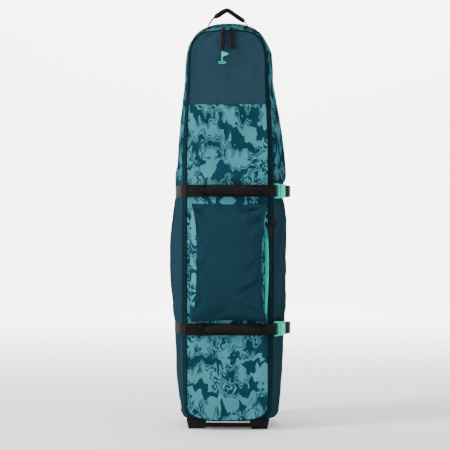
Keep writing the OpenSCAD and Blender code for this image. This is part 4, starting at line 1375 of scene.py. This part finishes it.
# a golf flag standing in its hole
BADGE_X, BADGE_Z, BADGE_Y, BADGE_T = -10.0, 1177.0, RIM_Y - LID_CROWN - 0.2, 1.5
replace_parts(badge_piece("badge_pole", [(-8.6, -16), (-4.6, -16), (-4.6, 18), (-8.6, 18)]), "badge")
badge_piece("badge_flag", [(-4.6, 18), (2, 16.4), (9, 13.6), (16, 10.2), (8, 6.6), (1, 3.6), (-4.6, 2)])
bm = bmesh.new()
outer, inner = [], []
for points in zip(oval(-6.5, -16.5, 13, 3.9), oval(-6.5, -16.5, 9.6, 1.7)):
    for ring, (x, z) in zip((outer, inner), points):
        ring.append([bm.verts.new(Vector((x, y, z)) * MM) for y in (BADGE_Y - BADGE_T, BADGE_Y)])
for k in range(32):
    q = (k + 1) % 32
    bm.faces.new((outer[k][0], outer[q][0], inner[q][0], inner[k][0]))
    bm.faces.new((outer[k][1], inner[k][1], inner[q][1], outer[q][1]))
    bm.faces.new((outer[k][0], outer[k][1], outer[q][1], outer[q][0]))
    bm.faces.new((inner[k][0], inner[q][0], inner[q][1], inner[k][1]))
bmesh.ops.recalc_face_normals(bm, faces=bm.faces)
uv_from(new_object("badge_hole", mesh_from(bm, "badge_hole"), "lid", mint_badge), face_on)


# ---------------------------------------------------------------- sliders, base and wheels
for tag in ("left", "right"):
    bevelled_copy("main_slider_" + tag, "main_zip_slider_" + tag, "main_" + tag, slider_metal, 0.5, 3)
for tag in ("upper", "lower"):
    bevelled_copy("pocket_slider_" + tag, "pocket_zip_slider_" + tag, "pocket_" + tag, slider_metal, 0.4, 3)
bevelled_copy("sled_base", "sled_moulding", "case", black_plastic, 1.6, 3)
bevelled_copy("cross_bar", "front_cross_bar", "case", black_plastic, 2.2, 3)
for tag in ("left", "right"):
    bevelled_copy(tag + "_wheel_housing", tag + "_housing", "case", black_plastic, 0.9, 2)
    bevelled_copy(tag + "_tyre", tag + "_wheel_tyre", tag + "_wheel", rubber, 1.0, 2, 20)
    bevelled_copy(tag + "_hub", tag + "_wheel_hub", tag + "_wheel", hub_plastic, 0.5, 2)
for node in ("base_screws", "axle_bolts", "left_bearings", "right_bearings", "base_board"):
    cad_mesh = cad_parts[node].data
    cad_mesh.materials.clear()
    cad_mesh.materials.append(board_plastic if node == "base_board" else steel)


# ---------------------------------------------------------------- inside: quilted lining
def quilt(u, v, pitch=62.0):
    a, b = (u + v) / pitch, (u - v) / pitch
    f = abs(math.sin(math.pi * a)) * abs(math.sin(math.pi * b))
    return 3.0 * f ** 0.5


rows = []
for j in range(37):
    t = lerp(0.075, 0.935, j / 36)
    row = []
    half = [(*p, *q) for p, q in zip(half_outline(t, 13.5), half_outline(t, 12.5))][N_BOTTOM:]
    full = half + [(-x, z, -x1, z1) for x, z, x1, z1 in half[-2::-1]]
    run, last = 0.0, full[0]
    for x, z, x1, z1 in full:
        run += math.hypot(x - last[0], z - last[1])
        last = (x, z)
        q = quilt(run, depth_y(t))
        row.append((x + (x - x1) * q, depth_y(t), z + (z - z1) * q))
    rows.append(row)
sheet("wall_lining", rows, "case", lining_cloth, "body_lining", "body_foam", uv=lambda co: (co.y, co.z),
      thick=1.2, fill=0.6, flip=True)
rows = []
for x, z in half_outline(0.93, 13.0)[N_BOTTOM:]:
    row = []
    for c in range(45):
        s = c / 22 - 1
        row.append((s * x, 151.5 - quilt(s * x, z) * min(1, 6 * (1 - abs(s))), z))
    rows.append(row)
sheet("back_lining", rows, "case", lining_cloth, thick=1.2)
rows = []
for x, z in half_outline(0.0, 5.0)[N_BOTTOM:]:
    if x < 8:
        continue
    row = []
    for c in range(45):
        s = c / 22 - 1
        row.append((s * x, face_y(s, z) + 11.0 + quilt(s * x, z) * min(1, 6 * (1 - abs(s))), z))
    rows.append(row)
sheet("lid_inner_lining", rows, "lid", lining_cloth, "lid_lining", "lid_foam",
      thick=1.2, fill=0.6, flip=True)
edge_rows = []
for f in (0.0, 0.35, 0.7, 1.0):
    row = round_line(0.0, lerp(3.0, 3.4, f), lerp(RIM_Y + 2.5, ZIP_Y - 1.5, f))
    edge_rows.append(row + [row[0]])
mesh = grid_mesh("lid_rim_lining", edge_rows, flip=True)
solidify(new_object("lid_rim_lining", mesh, "lid", lining_cloth), 1.0)
for k, z in enumerate((330, 800)):
    pts = [(-118, 146.0, 0), (-60, 145.6, 0), (0, 141.8, 0), (60, 145.6, 0), (118, 146.0, 0)]
    webbing_strip(f"hold_down_strap_{k}", pts, z, WEBBING_W, "case", webbing, 1.6, per=6,
                  replaced=["inner_straps"] if k == 0 else ())


def inner_floor_z(x, y):
    return 37.0 + max(0, y - 84) + 0.8 * noise.noise(Vector((x * 0.03, y * 0.03, 0)))


rows = [[(x, y, inner_floor_z(x, y)) for x in range(-112, 113, 8)] for y in range(-84, 151, 9)]
sheet("floor_lining", rows, "case", lining_cloth, uv=lambda co: (co.x, co.y), thick=1.0)


# ---------------------------------------------------------------- floor and light
def pale(name, color, rough):
    n = Nodes(name)
    g = n.noise(n.obj(), 3.0, 2.0)
    n.bsdf.inputs["Emission Color"].default_value = (1.0, 1.0, 1.0, 1.0)
    n.bsdf.inputs["Emission Strength"].default_value = 0.1
    return n.finish(n.mix(n.math("MULTIPLY", g, 0.05), rgb(color), rgb("#ffffff")), rough)


# a round bowl in metres: a flat floor that curves up into a wall
FLAT_R, BEND_R, WALL_H, N_ROUND = 7.5, 1.5, 8.0, 72
bends = [math.pi / 2 * k / 10 for k in range(1, 11)]
prof = [(0.4, 0.0), (3.0, 0.0), (FLAT_R, 0.0)]
prof += [(FLAT_R + BEND_R * math.sin(a), BEND_R - BEND_R * math.cos(a)) for a in bends]
prof.append((FLAT_R + BEND_R, WALL_H))
turns = [math.tau * k / N_ROUND for k in range(N_ROUND)]
bm = bmesh.new()
rings = [[bm.verts.new((r * math.cos(a), r * math.sin(a), z)) for a in turns] for r, z in prof]
bm.faces.new(rings[0])
for low, high in zip(rings, rings[1:]):
    for k in range(N_ROUND):
        q = (k + 1) % N_ROUND
        bm.faces.new((low[k], high[k], high[q], low[q]))
bmesh.ops.recalc_face_normals(bm, faces=bm.faces)
mesh = mesh_from(bm, "floor_sheet", True)
mesh.materials.append(pale("paper_floor", "#eeeeed", 0.9))
floor_obj = bpy.data.objects.new("floor_sheet", mesh)
scene.collection.objects.link(floor_obj)

world = bpy.data.worlds.new("studio")
scene.world = world
world.use_nodes = True
world.node_tree.nodes["Background"].inputs[0].default_value = (1.0, 1.0, 1.0, 1.0)
world.node_tree.nodes["Background"].inputs[1].default_value = 0.15


def area(name, at, to, size, power):
    data = bpy.data.lights.new(name, "AREA")
    data.shape = "RECTANGLE"
    data.size, data.size_y = size
    data.energy = power
    o = bpy.data.objects.new(name, data)
    scene.collection.objects.link(o)
    o.location = at
    o.rotation_euler = (Vector(to) - Vector(at)).to_track_quat("-Z", "Y").to_euler()


area("key", (-3.0, -1.9, 3.1), (0, 0, 0.7), (0.7, 0.9), 205)
area("fill", (3.0, -2.6, 1.6), (0, 0, 0.7), (2.0, 2.4), 15)
area("rim_left", (-2.6, 1.4, 1.8), (0, 0, 0.7), (0.8, 2.2), 20)
area("back_wash", (0, 4.6, 4.8), (0, 9.0, 0.9), (6.0, 2.0), 1900)
area("top", (0, -0.6, 4.2), (0, 0, 0.5), (2.4, 2.4), 85)
